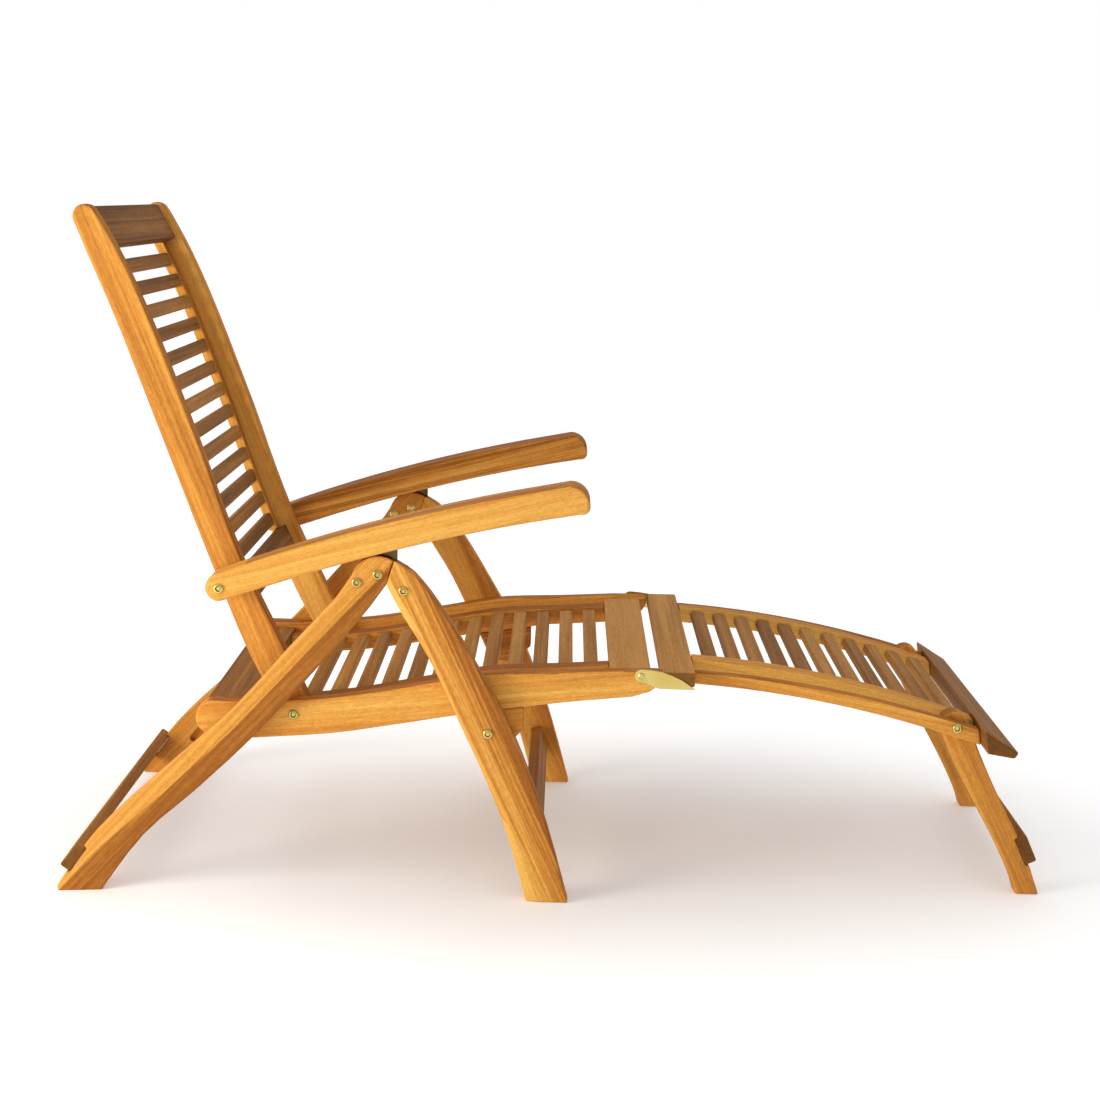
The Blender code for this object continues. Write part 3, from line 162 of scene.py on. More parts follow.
# How strongly a timber is streaked, and how fast it darkens from its sapwood edge, for each metre across
STREAKED = {
    "front_leg_right": 0.55, "footrest_rail_right": 0.45, "footrest_rail_left": 0.45, "armrest_left": 0.75,
}
PLAIN_STREAKS = 0.30
SAPWOOD_EDGE = {"front_leg": -8.0}

# How much darker or paler a chamfer is drawn than the face beside it: painted shade on the rear legs'
# chamfers, painted light on the front legs'
CHAMFER_SHADING = {"rear_leg": 0.30, "front_leg": -0.40}

# Painted shade: how much darker a timber is drawn where it looks up and forward, where less light falls on it
SKYWARD_SHADE = {"armrest": 0.35, "seat_rail": 0.35, "back_stile": 0.30, "footrest_rail": 0.45}
BEARER_SKYWARD_SHADE = 0.45
SKYWARD = (0.6, 0.0, 0.8)
SKYWARD_SHARE = 0.55

# Colours: of the timbers from pale to dark and then of their end grain, of the metals from greenish to rosy
SAPWOOD = ("EAB45A", "D69240", "9E6028", "85501F")
# These colours are partly painted shade: the slats and boards made in them are drawn browner to stand in for
# the shade on their tops, as well as for their darker wood.
HEARTWOOD_AND_SHADE = ("C68E48", "9E6A33", "6A431E", "5E3E1E")
BRIGHT_PLATING = ("BAAC62", "D4C074", "CEB468")
# The darker plating is painted shade: it goes on the hinge plates, which sit back in shade under the
# armrests, and on the walls of the bolts' sockets.
SHADED_PLATING = ("54462A", "645432", "5A4A2C")
PAPER = ("F2F3F4", "F5F6F7")
PAPER_LIGHT = "FFFDFC"
KEY_LIGHT = "FFF4E2"
SKY_LIGHT = "FFFFFF"

# Camera, as fitted to the photograph
CAMERA_PLACE = (0.0013, -2.804, 1.034)
CAMERA_YAW = -0.42
CAMERA_PITCH = 11.27
CAMERA_ROLL = 1.24
CAMERA_LENS = 58.9
SENSOR = 36.0

# Light: a low softbox to the camera's left, a bright backdrop and ceiling, and a dim room above a low
# white wall; where one gives way to the next is the height or depth of a direction, from 0 to 1
KEY_PLACE = (-2.35, -1.45, 0.85)
KEY_TARGET = (-0.1, -0.2, 0.42)
KEY_SIZE = 1.1
KEY_POWER = 44.0
ZENITH = 0.82
ROOM = 0.06
WALL_TOP = (0.09, 0.15)
BACKDROP_EDGE = (0.6, 0.92)
CEILING_EDGE = (0.15, 0.60)

# Paper floor: half its size, its clouds for each metre, and its glow, which rises away from the chair so that
# a painted shadow lies under it
PAPER_HALF = 15.0
PAPER_ROUGHNESS = 0.9
PAPER_CLOUDS = 3.0
PAPER_CLOUD_STOPS = (0.3, 0.7)
PAPER_GLOW_AND_PAINTED_SHADOW = (0.13, 0.36)
PAPER_SPREAD = (0.80, 0.45)
PAPER_RISE = (0.5, 1.6)

# Setting of a range with soft ends
SOFTLY = {"interpolation_type": "SMOOTHSTEP"}

# Places of the timbers' two materials on the slatted panels
BEARER_KIND = 0
SLAT_KIND = 1

SIDES = (("right", -1), ("left", 1))


def linear(hex_colour):
    """Linear RGBA of an sRGB hex colour."""
    shares = [int(hex_colour[index:index + 2], 16) / 255 for index in (0, 2, 4)]
    return [s / 12.92 if s <= 0.04045 else ((s + 0.055) / 1.055) ** 2.4 for s in shares] + [1.0]


# Materials

def add(tree, kind, settings=(), links=()):
    """Add a node with its settings, socket values and incoming links."""
    node = tree.nodes.new(kind)
    for key, value in dict(settings).items():
        if isinstance(key, str) and hasattr(node, key):
            setattr(node, key, value)
        else:
            node.inputs[key].default_value = value
    for key, source in dict(links).items():
        tree.links.new(source, node.inputs[key])
    return node


def between(tree, value, source, result, settings=(), links=()):
    """A value carried from one range to another; None stands for an end that a link gives."""
    ends = zip(("From Min", "From Max", "To Min", "To Max"), (*source, *result))
    chosen = {end: share for end, share in ends if share is not None}
    chosen.update(settings)
    incoming = {"Value": value}
    incoming.update(links)
    return add(tree, "ShaderNodeMapRange", chosen, incoming).outputs["Result"]


def ramp(tree, source, positions, colours):
    """Colour ramp with hex colours at the given positions."""
    node = add(tree, "ShaderNodeValToRGB", links={"Fac": source})
    elements = node.color_ramp.elements
    while len(elements) < len(colours):
        elements.new(1.0)
    for element, position, colour in zip(elements, positions, colours):
        element.position = position
        element.color = linear(colour)
    return node.outputs["Color"]


def new_material(name):
    """Empty node material with its shader, and the tree to fill."""
    material = bpy.data.materials.new(name)
    material.use_nodes = True
    tree = material.node_tree
    return material, tree, tree.nodes["Principled BSDF"]


def oiled_timber(name, pale, middle, dark, end):
    """Planed and oiled acacia: soft long streaks, fine fibres and short open pores under a satin finish."""
    material, tree, shader = new_material(name)
    grain = add(tree, "ShaderNodeAttribute", {"attribute_name": "grain"}).outputs["Vector"]
    tone = add(tree, "ShaderNodeAttribute", {"attribute_name": "tone"}).outputs["Fac"]
    streaked = add(tree, "ShaderNodeAttribute", {"attribute_name": "streaked"}).outputs["Fac"]
    painted_shading = add(tree, "ShaderNodeAttribute", {"attribute_name": "painted_shading"}).outputs["Fac"]
    cut = add(tree, "ShaderNodeAttribute", {"attribute_name": "end_cut"}).outputs["Fac"]

    def figure(length, width, detail, low, high):
        """Noise drawn out along the timber, spread between a low and a high value."""
        scale = (1 / length, 1 / width, 1 / width)
        place = add(tree, "ShaderNodeMapping", {"Scale": scale}, {"Vector": grain}).outputs["Vector"]
        drawn = {"Scale": 1.0, "Detail": detail, "Roughness": NOISE_ROUGHNESS}
        noise = add(tree, "ShaderNodeTexNoise", drawn, {"Vector": place}).outputs["Fac"]
        return between(tree, noise, NOISE_SPREAD, (low, high))

    def joined(operation, first, second, third=None):
        """Two or three values put together."""
        links = {0: first, 1: second}
        if third is not None:
            links[2] = third
        return add(tree, "ShaderNodeMath", {"operation": operation}, links).outputs["Value"]

    streaks = figure(STREAK_LENGTH, STREAK_WIDTH, FINE_DETAIL, -STREAK_DEPTH, STREAK_DEPTH)
    bands = figure(BAND_LENGTH, BAND_WIDTH, PLAIN_DETAIL, -BAND_DEPTH, BAND_DEPTH)
    mottle = figure(MOTTLE_LENGTH, MOTTLE_WIDTH, FINE_DETAIL, -MOTTLE_DEPTH, MOTTLE_DEPTH)
    # The painted shading layer shifts the tone: painted shade on the rear legs' chamfers and on faces that
    # look up and forward, painted light on the front legs' chamfers.
    depth = joined("MULTIPLY_ADD", streaks, streaked, joined("ADD", tone, painted_shading))
    depth = joined("ADD", joined("ADD", depth, bands), mottle)
    colour = ramp(tree, depth, TONE_STOPS, (pale, middle, dark))
    fibres = figure(FIBRE_LENGTH, FIBRE_WIDTH, FINE_DETAIL, *FIBRE_LIGHT)
    pores = figure(PORE_LENGTH, PORE_WIDTH, PLAIN_DETAIL, *PORE_LIGHT)
    surface = joined("MULTIPLY", fibres, pores)
    colour = add(
        tree, "ShaderNodeVectorMath", {"operation": "SCALE"}, {"Vector": colour, "Scale": surface}
    ).outputs["Vector"]
    end_share = between(tree, cut, END_CUT, (0.0, END_SHARE))
    colour = add(
        tree, "ShaderNodeMix", {"data_type": "RGBA", 7: linear(end)}, {"Factor": end_share, 6: colour}
    ).outputs[2]
    tree.links.new(colour, shader.inputs["Base Color"])
    sheen = between(tree, surface, SURFACE_LIGHT, OIL_ROUGHNESS)
    tree.links.new(sheen, shader.inputs["Roughness"])
    relief = {"Strength": RELIEF_STRENGTH, "Distance": GRAIN_RELIEF}
    bump = add(tree, "ShaderNodeBump", relief, {"Height": surface})
    tree.links.new(bump.outputs["Normal"], shader.inputs["Normal"])
    shader.inputs["IOR"].default_value = OIL_IOR
    shader.inputs["Specular IOR Level"].default_value = OIL_GLOSS
    return material


def plated_steel(name, greenish, straw, rosy):
    """Yellow-passivated zinc on steel: a warm straw metal that turns slowly to green and rose."""
    material, tree, shader = new_material(name)
    place = add(tree, "ShaderNodeTexCoord").outputs["Object"]
    clouds = add(
        tree, "ShaderNodeTexNoise", {"Scale": 1 / CLOUD_SIZE, "Detail": PLAIN_DETAIL}, {"Vector": place}
    ).outputs["Fac"]
    colour = ramp(tree, clouds, CLOUD_STOPS, (greenish, straw, rosy))
    tree.links.new(colour, shader.inputs["Base Color"])
    scuffs = add(
        tree, "ShaderNodeTexNoise", {"Scale": 1 / SCUFF_SIZE, "Detail": MIDDLE_DETAIL}, {"Vector": place}
    ).outputs["Fac"]
    dull = between(tree, scuffs, SCUFF_SPREAD, ZINC_ROUGHNESS)
    tree.links.new(dull, shader.inputs["Roughness"])
    shader.inputs["Metallic"].default_value = 1.0
    return material


def studio_paper():
    """Matt white backdrop paper that glows by itself, so that the lights' shadow shows only pale grey on it;
    the glow is weaker under the chair, a painted shadow there.
    """
    material, tree, shader = new_material("white_backdrop_paper")
    place = add(tree, "ShaderNodeTexCoord").outputs["Object"]
    clouds = add(
        tree, "ShaderNodeTexNoise", {"Scale": PAPER_CLOUDS, "Detail": MIDDLE_DETAIL}, {"Vector": place}
    ).outputs["Fac"]
    colour = ramp(tree, clouds, PAPER_CLOUD_STOPS, PAPER)
    tree.links.new(colour, shader.inputs["Base Color"])
    shader.inputs["Roughness"].default_value = PAPER_ROUGHNESS
    shader.inputs["Specular IOR Level"].default_value = 0.0
    spread = add(
        tree, "ShaderNodeMapping", {"Scale": [1 / reach for reach in PAPER_SPREAD] + [1.0]}, {"Vector": place}
    ).outputs["Vector"]
    away = add(tree, "ShaderNodeVectorMath", {"operation": "LENGTH"}, {0: spread}).outputs["Value"]
    # Weaker glow under the chair: a painted shadow.
    glow = between(tree, away, PAPER_RISE, PAPER_GLOW_AND_PAINTED_SHADOW, SOFTLY)
    shader.inputs["Emission Color"].default_value = linear(PAPER_LIGHT)
    tree.links.new(glow, shader.inputs["Emission Strength"])
    return material


# Shapes

def copy_of(node):
    """A CAD node's mesh as a bmesh, with its loose triangles merged into flat faces."""
    mesh = bmesh.new()
    mesh.from_mesh(frame["nodes"][node].data)
    bmesh.ops.remove_doubles(mesh, verts=mesh.verts, dist=MERGE_DISTANCE)
    flatten(mesh)
    return mesh


def flatten(mesh):
    """Join triangles that lie in one plane."""
    bmesh.ops.dissolve_limit(
        mesh, angle_limit=math.radians(FLAT_ANGLE), verts=mesh.verts, edges=mesh.edges,
        use_dissolve_boundaries=False,
    )


def plug_bores(mesh, axes):
    """Close the bolt holes, which the bolt heads cover."""
    walls = []
    for face in mesh.faces:
        for x, z in axes:
            reach = [math.hypot(vert.co.x - x, vert.co.z - z) for vert in face.verts]
            if max(reach) < BORE_RADIUS:
                walls.append(face)
                break
    if not walls:
        return
    bmesh.ops.delete(mesh, geom=walls, context="FACES")
    bmesh.ops.holes_fill(mesh, edges=[edge for edge in mesh.edges if edge.is_boundary])
    bmesh.ops.recalc_face_normals(mesh, faces=mesh.faces)
    flatten(mesh)


def shade_facets(mesh, shift):
    """Mark the long chamfers to be drawn darker (painted shade) or paler (painted light) than the face beside
    them.
    """
    layer = mesh.faces.layers.float.new("painted_shading")
    for face in mesh.faces:
        if CHAMFER_FACE < abs(face.normal.y) < SIDE_FACE:
            face[layer] = shift


def run_out(mesh, shift):
    """Carry the painted shade of a leg's chamfer on to its toe: the side face's corner there, or all of a
    triangle, is marked.
    """
    layer = mesh.faces.layers.float["painted_shading"]
    for face in [face for face in mesh.faces if abs(face.normal.y) > SIDE_FACE]:
        for corner in face.loops:
            beside = any(other[layer] for other in corner.vert.link_faces)
            ends = (corner.link_loop_prev.vert, corner.link_loop_next.vert)
            heights = sorted(end.co.z for end in ends)
            if beside and max(corner.vert.co.z, heights[0]) < SHORT_EDGE < heights[1]:
                halves = [face]
                if len(face.verts) > 3:
                    halves.append(bmesh.utils.face_split(face, *ends)[0])
                min(halves, key=lambda half: half.calc_area())[layer] = shift
                break


def weather(mesh, shift):
    """Darken the faces that look up and forward: painted shade where less light falls on them."""
    layer = mesh.faces.layers.float["painted_shading"]
    for face in mesh.faces:
        if face.normal.dot(Vector(SKYWARD)) > SKYWARD_SHARE:
            face[layer] = shift


def at_faces(node):
    """Chooses the rims of a timber's two side faces and of its chamfer, away from slots and kerfs."""
    low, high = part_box(node)
    faces = sorted((abs(low[1]), abs(high[1])))
    chamfered = node.startswith(("rear_leg", "front_leg"))
    reach = CHAMFER_REACH if chamfered else RIM_REACH

    def on_rim(vert):
        """On one of the side faces, or on the chamfer beside the outer one."""
        place = abs(vert.co.y)
        return abs(place - faces[0]) < RIM_REACH or place > faces[1] - reach

    return lambda edge: all(on_rim(vert) for vert in edge.verts) and edge.calc_length() > RIM_REACH


def ease(mesh, radius, chosen=None):
    """Round the sharp edges, or those of them that are chosen, and keep the shallow ridges crisp."""
    limit = math.radians(SHARP_ANGLE)
    edges = [edge for edge in mesh.edges if edge.is_manifold and edge.calc_face_angle() > limit]
    if chosen:
        edges = [edge for edge in edges if chosen(edge)]
    bmesh.ops.bevel(
        mesh, geom=edges, offset=radius, offset_type="OFFSET", segments=EASE_STEPS,
        profile=0.5, affect="EDGES", material=-1, clamp_overlap=False,
    )
    for edge in mesh.edges:
        if edge.is_manifold and edge.calc_face_angle() > math.radians(RIDGE_ANGLE):
            edge.smooth = not all(abs(face.normal.y) > EASED_FACE for face in edge.link_faces)


def place_of(group):
    """Where a group of vertices starts along and across the chair, to a tenth of a millimetre."""
    return [round(min(vert.co[axis] for vert in group), 4) for axis in (0, 1)]


def islands(mesh):
    """Groups of vertices that hang together, in the order of their places along and across the chair."""
    left = set(mesh.verts)
    groups = []
    for start in mesh.verts:
        if start not in left:
            continue
        left.remove(start)
        group = [start]
        for vert in group:
            for edge in vert.link_edges:
                other = edge.other_vert(vert)
                if other in left:
                    left.remove(other)
                    group.append(other)
        groups.append(group)
    return sorted(groups, key=place_of)


def cut_between(mesh, low, high):
    """Keep what lies between two distances across the chair, and close the cuts."""
    for distance, direction in ((low, -1), (high, 1)):
        if distance is None:
            continue
        geometry = list(mesh.verts) + list(mesh.edges) + list(mesh.faces)
        bmesh.ops.bisect_plane(
            mesh, geom=geometry, dist=MERGE_DISTANCE, plane_co=(0.0, distance, 0.0),
            plane_no=(0.0, direction, 0.0), clear_outer=True,
        )
    bmesh.ops.holes_fill(mesh, edges=[edge for edge in mesh.edges if edge.is_boundary])
    bmesh.ops.recalc_face_normals(mesh, faces=mesh.faces)
    flatten(mesh)


# Timber

def long_axis(verts):
    """Middle of a timber and its direction, which points up, or else forward, or else to the far side."""
    points = np.array([vert.co for vert in verts])
    middle = points.mean(axis=0)
    spread = points - middle
    along = Vector(np.linalg.eigh(spread.T @ spread)[1][:, 2]).normalized()
    if along.dot(Vector(GRAIN_HEADING)) < 0:
        along = -along
    return Vector(middle), along


def lengthen(mesh, lap):
    """Run a bearer on at its upper end."""
    along = long_axis(mesh.verts)[1]
    top = max(vert.co.dot(along) for vert in mesh.verts)
    for vert in mesh.verts:
        if vert.co.dot(along) > top - BEARER_END:
            vert.co += along * lap


def run_grain(mesh, verts, seed, tone, streaked, darkening=0.0):
    """Give one timber its own run of grain along its length, its tone, its streaks and its end cuts."""
    chance = random.Random(seed)
    middle, along = long_axis(verts)
    side = Vector((0.0, 1.0, 0.0)) if abs(along.y) < ACROSS_CHAIR else Vector((1.0, 0.0, 0.0))
    across = along.cross(side).normalized()
    side = across.cross(along)
    shift = Vector([chance.uniform(0.0, reach) for reach in GRAIN_SHIFT])
    layers = mesh.verts.layers
    grain = layers.float_vector["grain"]
    tones = layers.float["tone"]
    streaks = layers.float["streaked"]
    cuts = mesh.faces.layers.float["end_cut"]
    for vert in verts:
        offset = vert.co - middle
        vert[grain] = Vector((offset.dot(along), offset.dot(across), offset.dot(side))) + shift
        vert[tones] = tone + darkening * offset.dot(across)
        vert[streaks] = streaked
    for face in {face for vert in verts for face in vert.link_faces}:
        face[cuts] = abs(face.normal.dot(along))


def grain_layers(mesh):
    """Attributes that the timber material reads."""
    mesh.verts.layers.float_vector.new("grain")
    mesh.verts.layers.float.new("tone")
    mesh.verts.layers.float.new("streaked")
    mesh.faces.layers.float.new("end_cut")


def piece(name, mesh, nodes, materials):
    """Finished object that stands for CAD nodes and rides on their body."""
    data = bpy.data.meshes.new(name)
    mesh.to_mesh(data)
    mesh.free()
    for polygon in data.polygons:
        polygon.use_smooth = True
    for material in materials:
        data.materials.append(material)
    thing = bpy.data.objects.new(name, data)
    bpy.context.scene.collection.objects.link(thing)
    shading = thing.modifiers.new("even_shading", "WEIGHTED_NORMAL")
    shading.keep_sharp = True
    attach(thing, BODY_OF[nodes[0]])
    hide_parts(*nodes)
    return thing


def timber(node, material, radius, tone, kind="", bores=(), chosen=None):
    """One timber made from its CAD node, with eased edges and its own grain."""
    streaked = STREAKED.get(node, PLAIN_STREAKS)
    darkening = SAPWOOD_EDGE.get(kind, 0.0)
    painted_shading = CHAMFER_SHADING.get(kind, 0.0)
    mesh = copy_of(node)
    plug_bores(mesh, bores)
    bmesh.ops.dissolve_degenerate(mesh, dist=SHORT_EDGE, edges=mesh.edges)
    # The chamfers, and for the rear legs the toe too, are marked with painted shading.
    shade_facets(mesh, painted_shading)
    if kind == "rear_leg":
        run_out(mesh, painted_shading)
    ease(mesh, radius, chosen)
    # Faces that look up and forward are darkened as painted shade.
    if kind in SKYWARD_SHADE:
        weather(mesh, SKYWARD_SHADE[kind])
    grain_layers(mesh)
    run_grain(mesh, list(mesh.verts), node, tone, streaked, darkening)
    return piece("oiled_" + node, mesh, [node], [material])


def slatted(node, bearer, tones, bearer_tone, skyward_shade=0.0, lap=0.0):
    """Slats and bearers of one panel, each a timber of its own."""
    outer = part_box(node)[1][1]
    shoulder = outer - bearer
    slat_end = shoulder - SLAT_JOINT
    bearer_face = shoulder + SLAT_JOINT
    whole = bmesh.new()
    whole.faces.layers.float.new("painted_shading")
    for low, high, radius, kind in (
        (-slat_end, slat_end, SLAT_EASE, SLAT_KIND),
        (bearer_face, None, BEARER_EASE, BEARER_KIND),
        (None, -bearer_face, BEARER_EASE, BEARER_KIND),
    ):
        part = copy_of(node)
        cut_between(part, low, high)
        if kind == BEARER_KIND:
            lengthen(part, lap)
        shade_facets(part, 0.0)
        ease(part, radius)
        # The bearers' faces that look up and forward are darkened as painted shade.
        if kind == BEARER_KIND:
            weather(part, skyward_shade)
        for face in part.faces:
            face.material_index = kind
        data = bpy.data.meshes.new("part")
        part.to_mesh(data)
        part.free()
        whole.from_mesh(data)
        bpy.data.meshes.remove(data)
    grain_layers(whole)
    for number, group in enumerate(islands(whole)):
        seed = node + str(number)
        is_bearer = group[0].link_faces[0].material_index == BEARER_KIND
        tone = bearer_tone if is_bearer else random.Random(seed).uniform(*tones)
        run_grain(whole, group, seed, tone, PLAIN_STREAKS)
    return piece("oiled_" + node, whole, [node], [GOLDEN, BROWN])


# Fittings

def bolt_axis(node):
    """Where a bolt's axis lies in the side view."""
    low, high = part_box(node)
    return (low[0] + high[0]) / 2, (low[2] + high[2]) / 2


def has_nut(node):
    """Bolts right through the timber end in a nut."""
    return node.startswith(("crown_bolt", "leg_pivot_bolt", "back_pivot_bolt"))


def socket_reach(angle, radius):
    """Distance from the middle to the wall of a six-sided socket."""
    turn = math.radians(360.0 / SOCKET_SIDES)
    return radius * math.cos(turn / 2) / math.cos((angle % turn) - turn / 2)


def bolt(node):
    """Dome-headed bolt with a six-sided socket whose walls are drawn dark as painted shade, and its nut where
    the CAD has one.
    """
    low, high = (Vector(corner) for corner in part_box(node))
    axis = (low + high) / 2
    sign = 1 if axis.y > 0 else -1
    head_end = max(abs(low.y), abs(high.y))
    tip = min(abs(low.y), abs(high.y))
    radius = (high.x - low.x) / 2
    seat = head_end - HEAD_HEIGHT
    socket = radius * SOCKET_SHARE
    socket_floor = radius * SOCKET_FLOOR_SHARE
    flat = socket + SOCKET_RIM
    profile = [(0.0, head_end - SOCKET_DEPTH), (socket_floor, head_end - SOCKET_DEPTH)]
    profile += [(socket, head_end - SOCKET_RIM), (flat, head_end)]
    for step in range(1, DOME_STEPS + 1):
        angle = math.radians(90.0 * step / DOME_STEPS)
        rise = HEAD_UPRIGHT_SHARE + (1 - HEAD_UPRIGHT_SHARE) * math.cos(angle)
        profile.append((flat + (radius - flat) * math.sin(angle), seat + HEAD_HEIGHT * rise))
    profile += [(radius, seat), (SHANK_RADIUS, seat), (SHANK_RADIUS, tip + NUT_HEIGHT)]
    if has_nut(node):
        profile += [(radius, tip + NUT_HEIGHT), (radius, tip + NUT_HEIGHT * NUT_CHAMFER_SHARE)]
        profile += [(radius * NUT_TIP_SHARE, tip)]
    else:
        profile += [(SHANK_RADIUS, tip)]
    profile.append((0.0, tip))
    mesh = bmesh.new()
    verts = [mesh.verts.new((axis.x + reach, sign * y, axis.z)) for reach, y in profile]
    for before, after in zip(verts, verts[1:]):
        mesh.edges.new((before, after))
    bmesh.ops.spin(
        mesh, geom=list(mesh.verts) + list(mesh.edges), cent=axis, axis=(0.0, 1.0, 0.0),
        angle=2 * math.pi, steps=HEAD_SIDES, use_merge=True,
    )
    bmesh.ops.remove_doubles(mesh, verts=mesh.verts, dist=MERGE_DISTANCE)
    bmesh.ops.recalc_face_normals(mesh, faces=mesh.faces)
    # The socket's walls take the darkened plating: painted shade in the recess.
    for face in mesh.faces:
        middle = face.calc_center_median()
        reach = math.hypot(middle.x - axis.x, middle.z - axis.z)
        is_wall = abs(middle.y) > seat and socket_floor < reach < socket
        face.material_index = int(is_wall)
    for vert in mesh.verts:
        reach = math.hypot(vert.co.x - axis.x, vert.co.z - axis.z)
        in_socket = abs(vert.co.y) > seat and 0.0 < reach < flat + MERGE_DISTANCE
        if in_socket:
            angle = math.atan2(vert.co.z - axis.z, vert.co.x - axis.x)
            share = socket_reach(angle, reach) / reach
            vert.co.x = axis.x + (vert.co.x - axis.x) * share
            vert.co.z = axis.z + (vert.co.z - axis.z) * share
    made = piece("plated_" + node, mesh, [node], [ZINC, SHADED_ZINC])
    made.data.set_sharp_from_angle(angle=math.radians(METAL_ANGLE))
    return made


def plate(node, material):
    """Stamped plate with its edges just broken."""
    mesh = copy_of(node)
    ease(mesh, PLATE_EASE)
    made = piece("plated_" + node, mesh, [node], [material])
    made.data.set_sharp_from_angle(angle=math.radians(METAL_ANGLE))
    return made


# Stage

def aim(place, target):
    """Rotation that points a light from its place to a target."""
    return (Vector(target) - Vector(place)).to_track_quat("-Z", "Y").to_euler()


def softbox(name, place, target, size, power, colour):
    """Square soft light."""
    data = bpy.data.lights.new(name, "AREA")
    data.shape = "SQUARE"
    data.size = size
    data.energy = power
    data.color = linear(colour)[:3]
    light = bpy.data.objects.new(name, data)
    light.location = place
    light.rotation_euler = aim(place, target)
    bpy.context.scene.collection.objects.link(light)


def make_camera():
    """Camera at the photograph's place, turned, tipped and slightly rolled."""
    yaw = math.radians(CAMERA_YAW)
    pitch = math.radians(CAMERA_PITCH)
    roll = math.radians(CAMERA_ROLL)
    forward = Vector((math.sin(yaw) * math.cos(pitch), math.cos(yaw) * math.cos(pitch), -math.sin(pitch)))
    right = forward.cross(Vector((0.0, 0.0, 1.0))).normalized()
    up = right.cross(forward)
    tipped_right = right * math.cos(roll) + up * math.sin(roll)
    tipped_up = up * math.cos(roll) - right * math.sin(roll)
    turn = Matrix((tipped_right, tipped_up, -forward)).transposed().to_4x4()
    data = bpy.data.cameras.new("camera")
    data.sensor_width = SENSOR
    data.lens = CAMERA_LENS
    camera = bpy.data.objects.new("camera", data)
    camera.matrix_world = Matrix.Translation(CAMERA_PLACE) @ turn
    bpy.context.scene.collection.objects.link(camera)
    bpy.context.scene.camera = camera


def make_stage():
    """White paper floor, pale surroundings and one soft light from the camera's left."""
    mesh = bmesh.new()
    bmesh.ops.create_grid(mesh, x_segments=1, y_segments=1, size=PAPER_HALF)
    data = bpy.data.meshes.new("paper_floor")
    mesh.to_mesh(data)
    mesh.free()
    data.materials.append(studio_paper())
    floor = bpy.data.objects.new("paper_floor", data)
    bpy.context.scene.collection.objects.link(floor)
    world = bpy.data.worlds.new("white_studio")
    world.use_nodes = True
    tree = world.node_tree
    direction = add(tree, "ShaderNodeTexCoord").outputs["Generated"]
    axes = add(tree, "ShaderNodeSeparateXYZ", links={"Vector": direction}).outputs
    wall = between(tree, axes["Z"], WALL_TOP, (1.0, ROOM), SOFTLY)
    backdrop = between(tree, axes["Y"], BACKDROP_EDGE, (None, 1.0), SOFTLY, {"To Min": wall})
    glow = between(tree, axes["Z"], CEILING_EDGE, (None, ZENITH), SOFTLY, {"To Min": backdrop})
    tree.nodes["Background"].inputs["Color"].default_value = linear(SKY_LIGHT)
    tree.links.new(glow, tree.nodes["Background"].inputs["Strength"])
    bpy.context.scene.world = world
    softbox("key_softbox", KEY_PLACE, KEY_TARGET, KEY_SIZE, KEY_POWER, KEY_LIGHT)
    bpy.context.scene.view_settings.view_transform = "Standard"


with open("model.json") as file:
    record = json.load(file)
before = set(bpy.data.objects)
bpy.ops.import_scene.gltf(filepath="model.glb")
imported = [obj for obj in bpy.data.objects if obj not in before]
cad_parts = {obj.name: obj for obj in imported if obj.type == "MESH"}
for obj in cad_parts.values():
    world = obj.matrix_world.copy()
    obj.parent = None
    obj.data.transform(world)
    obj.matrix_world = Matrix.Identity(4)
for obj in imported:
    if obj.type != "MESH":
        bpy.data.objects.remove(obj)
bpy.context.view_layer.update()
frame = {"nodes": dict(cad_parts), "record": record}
BODY_OF = {
    node: body for body, nodes in frame["record"]["behaviour"]["bodies"].items() for node in nodes
}

make_camera()
make_stage()
GOLDEN = oiled_timber("oiled_acacia_sapwood", *SAPWOOD)
# The heartwood material is partly painted shade: slats and boards made in it are drawn browner for the shade
# on their tops.
BROWN = oiled_timber("oiled_acacia_heartwood_and_shade", *HEARTWOOD_AND_SHADE)
ZINC = plated_steel("yellow_zinc_plated_steel", *BRIGHT_PLATING)
# Plating darkened as painted shade.
SHADED_ZINC = plated_steel("zinc_plated_steel_painted_shade", *SHADED_PLATING)

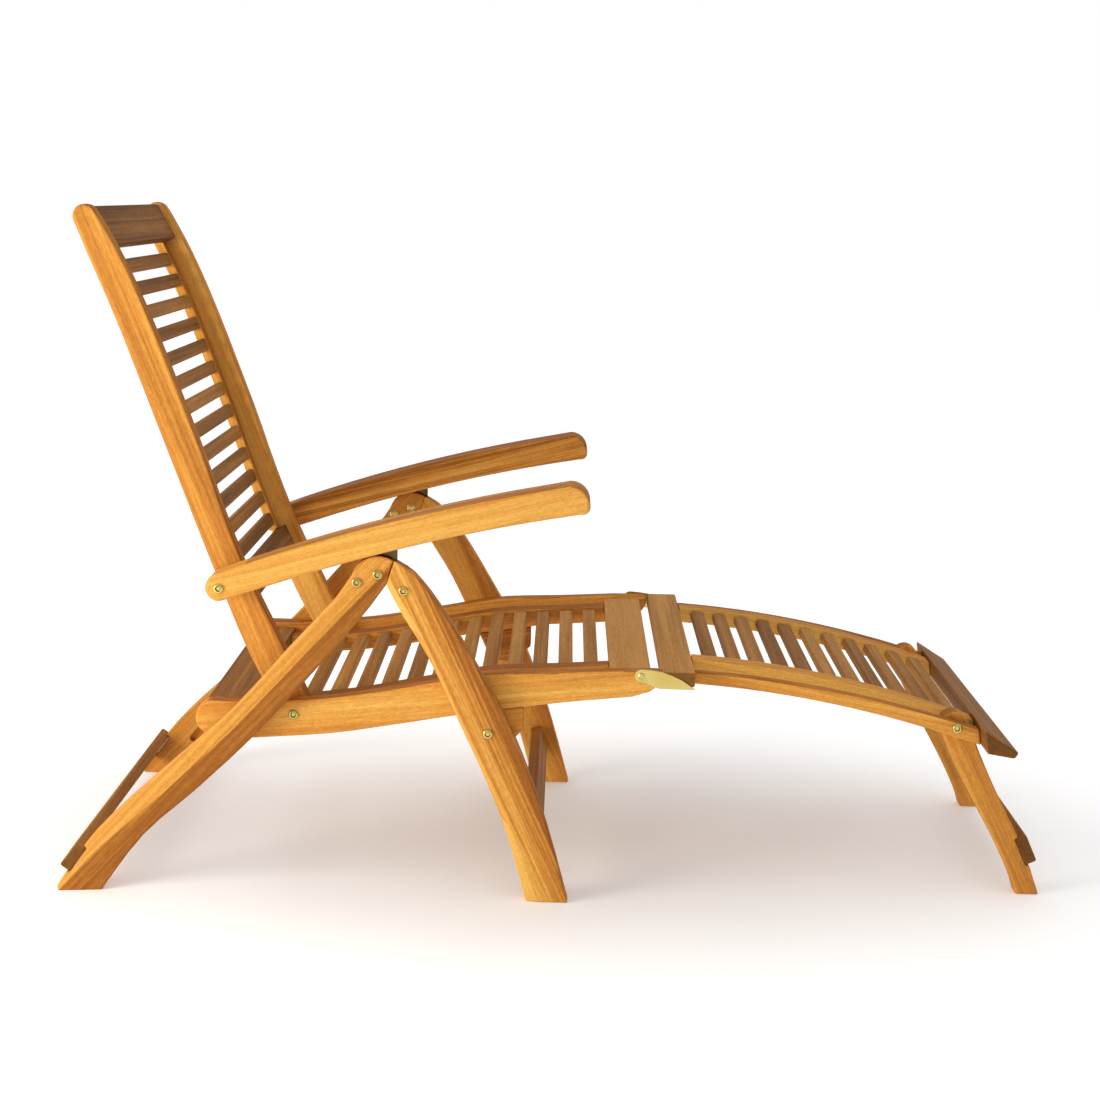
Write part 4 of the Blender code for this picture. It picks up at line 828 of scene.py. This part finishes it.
for side, sign in SIDES:
    crown_bores = [bolt_axis("crown_bolt_rear_" + side), bolt_axis("crown_bolt_front_" + side)]
    leg_bores = [bolt_axis("leg_pivot_bolt_" + side), bolt_axis("seat_pivot_bolt_" + side)]
    back_bores = [bolt_axis("back_pivot_bolt_" + side), bolt_axis("arm_pivot_bolt_" + side)]
    foot_bores = [bolt_axis("footrest_leg_bolt_" + side)]
    for node, bores, radius in (
        ("rear_leg", crown_bores, LEG_EASE),
        ("front_leg", leg_bores, LEG_EASE),
        ("seat_rail", back_bores, RAIL_EASE),
        ("seat_lug", leg_bores, RAIL_EASE),
        ("back_stile", back_bores, STILE_EASE),
        ("armrest", back_bores, ARMREST_EASE),
        ("footrest_rail", foot_bores, RAIL_EASE),
        ("footrest_leg", foot_bores, RAIL_EASE),
    ):
        whole = node + "_" + side
        # Far-side timbers take tones that are partly painted light and shade.
        tone = FAR_TONE_AND_SHADING[node] if sign > 0 else TONE[node]
        timber(whole, GOLDEN, radius, tone, node, bores, at_faces(whole))
    for node in (
        "crown_bolt_rear_", "crown_bolt_front_", "leg_pivot_bolt_", "seat_pivot_bolt_",
        "back_pivot_bolt_", "arm_pivot_bolt_", "footrest_leg_bolt_",
    ):
        bolt(node + side)
    # The hinge plates take the darkened plating: painted shade.
    plate("hinge_plate_" + side, SHADED_ZINC)
    plate("leaf_plate_" + side, ZINC)
    for node in ("seat_pivot_spacer_", "guide_pin_", "plate_rivet_", "arm_pivot_washer_"):
        frame["nodes"][node + side].material_slots[0].material = ZINC

for node, tone in BOARD_TONE.items():
    timber(node, BROWN, BOARD_EASE, tone)
slatted("seat_slats", SEAT_BEARER, SEAT_TONES, SEAT_BEARER_TONE, BEARER_SKYWARD_SHADE)
slatted("back_slats", BACK_BEARER, BACK_TONES, BACK_BEARER_TONE, BEARER_SKYWARD_SHADE, BEARER_LAP)
slatted(
    "footrest_slats", FOOTREST_BEARER, FOOTREST_TONES, FOOTREST_BEARER_TONE,
    BEARER_SKYWARD_SHADE,
)
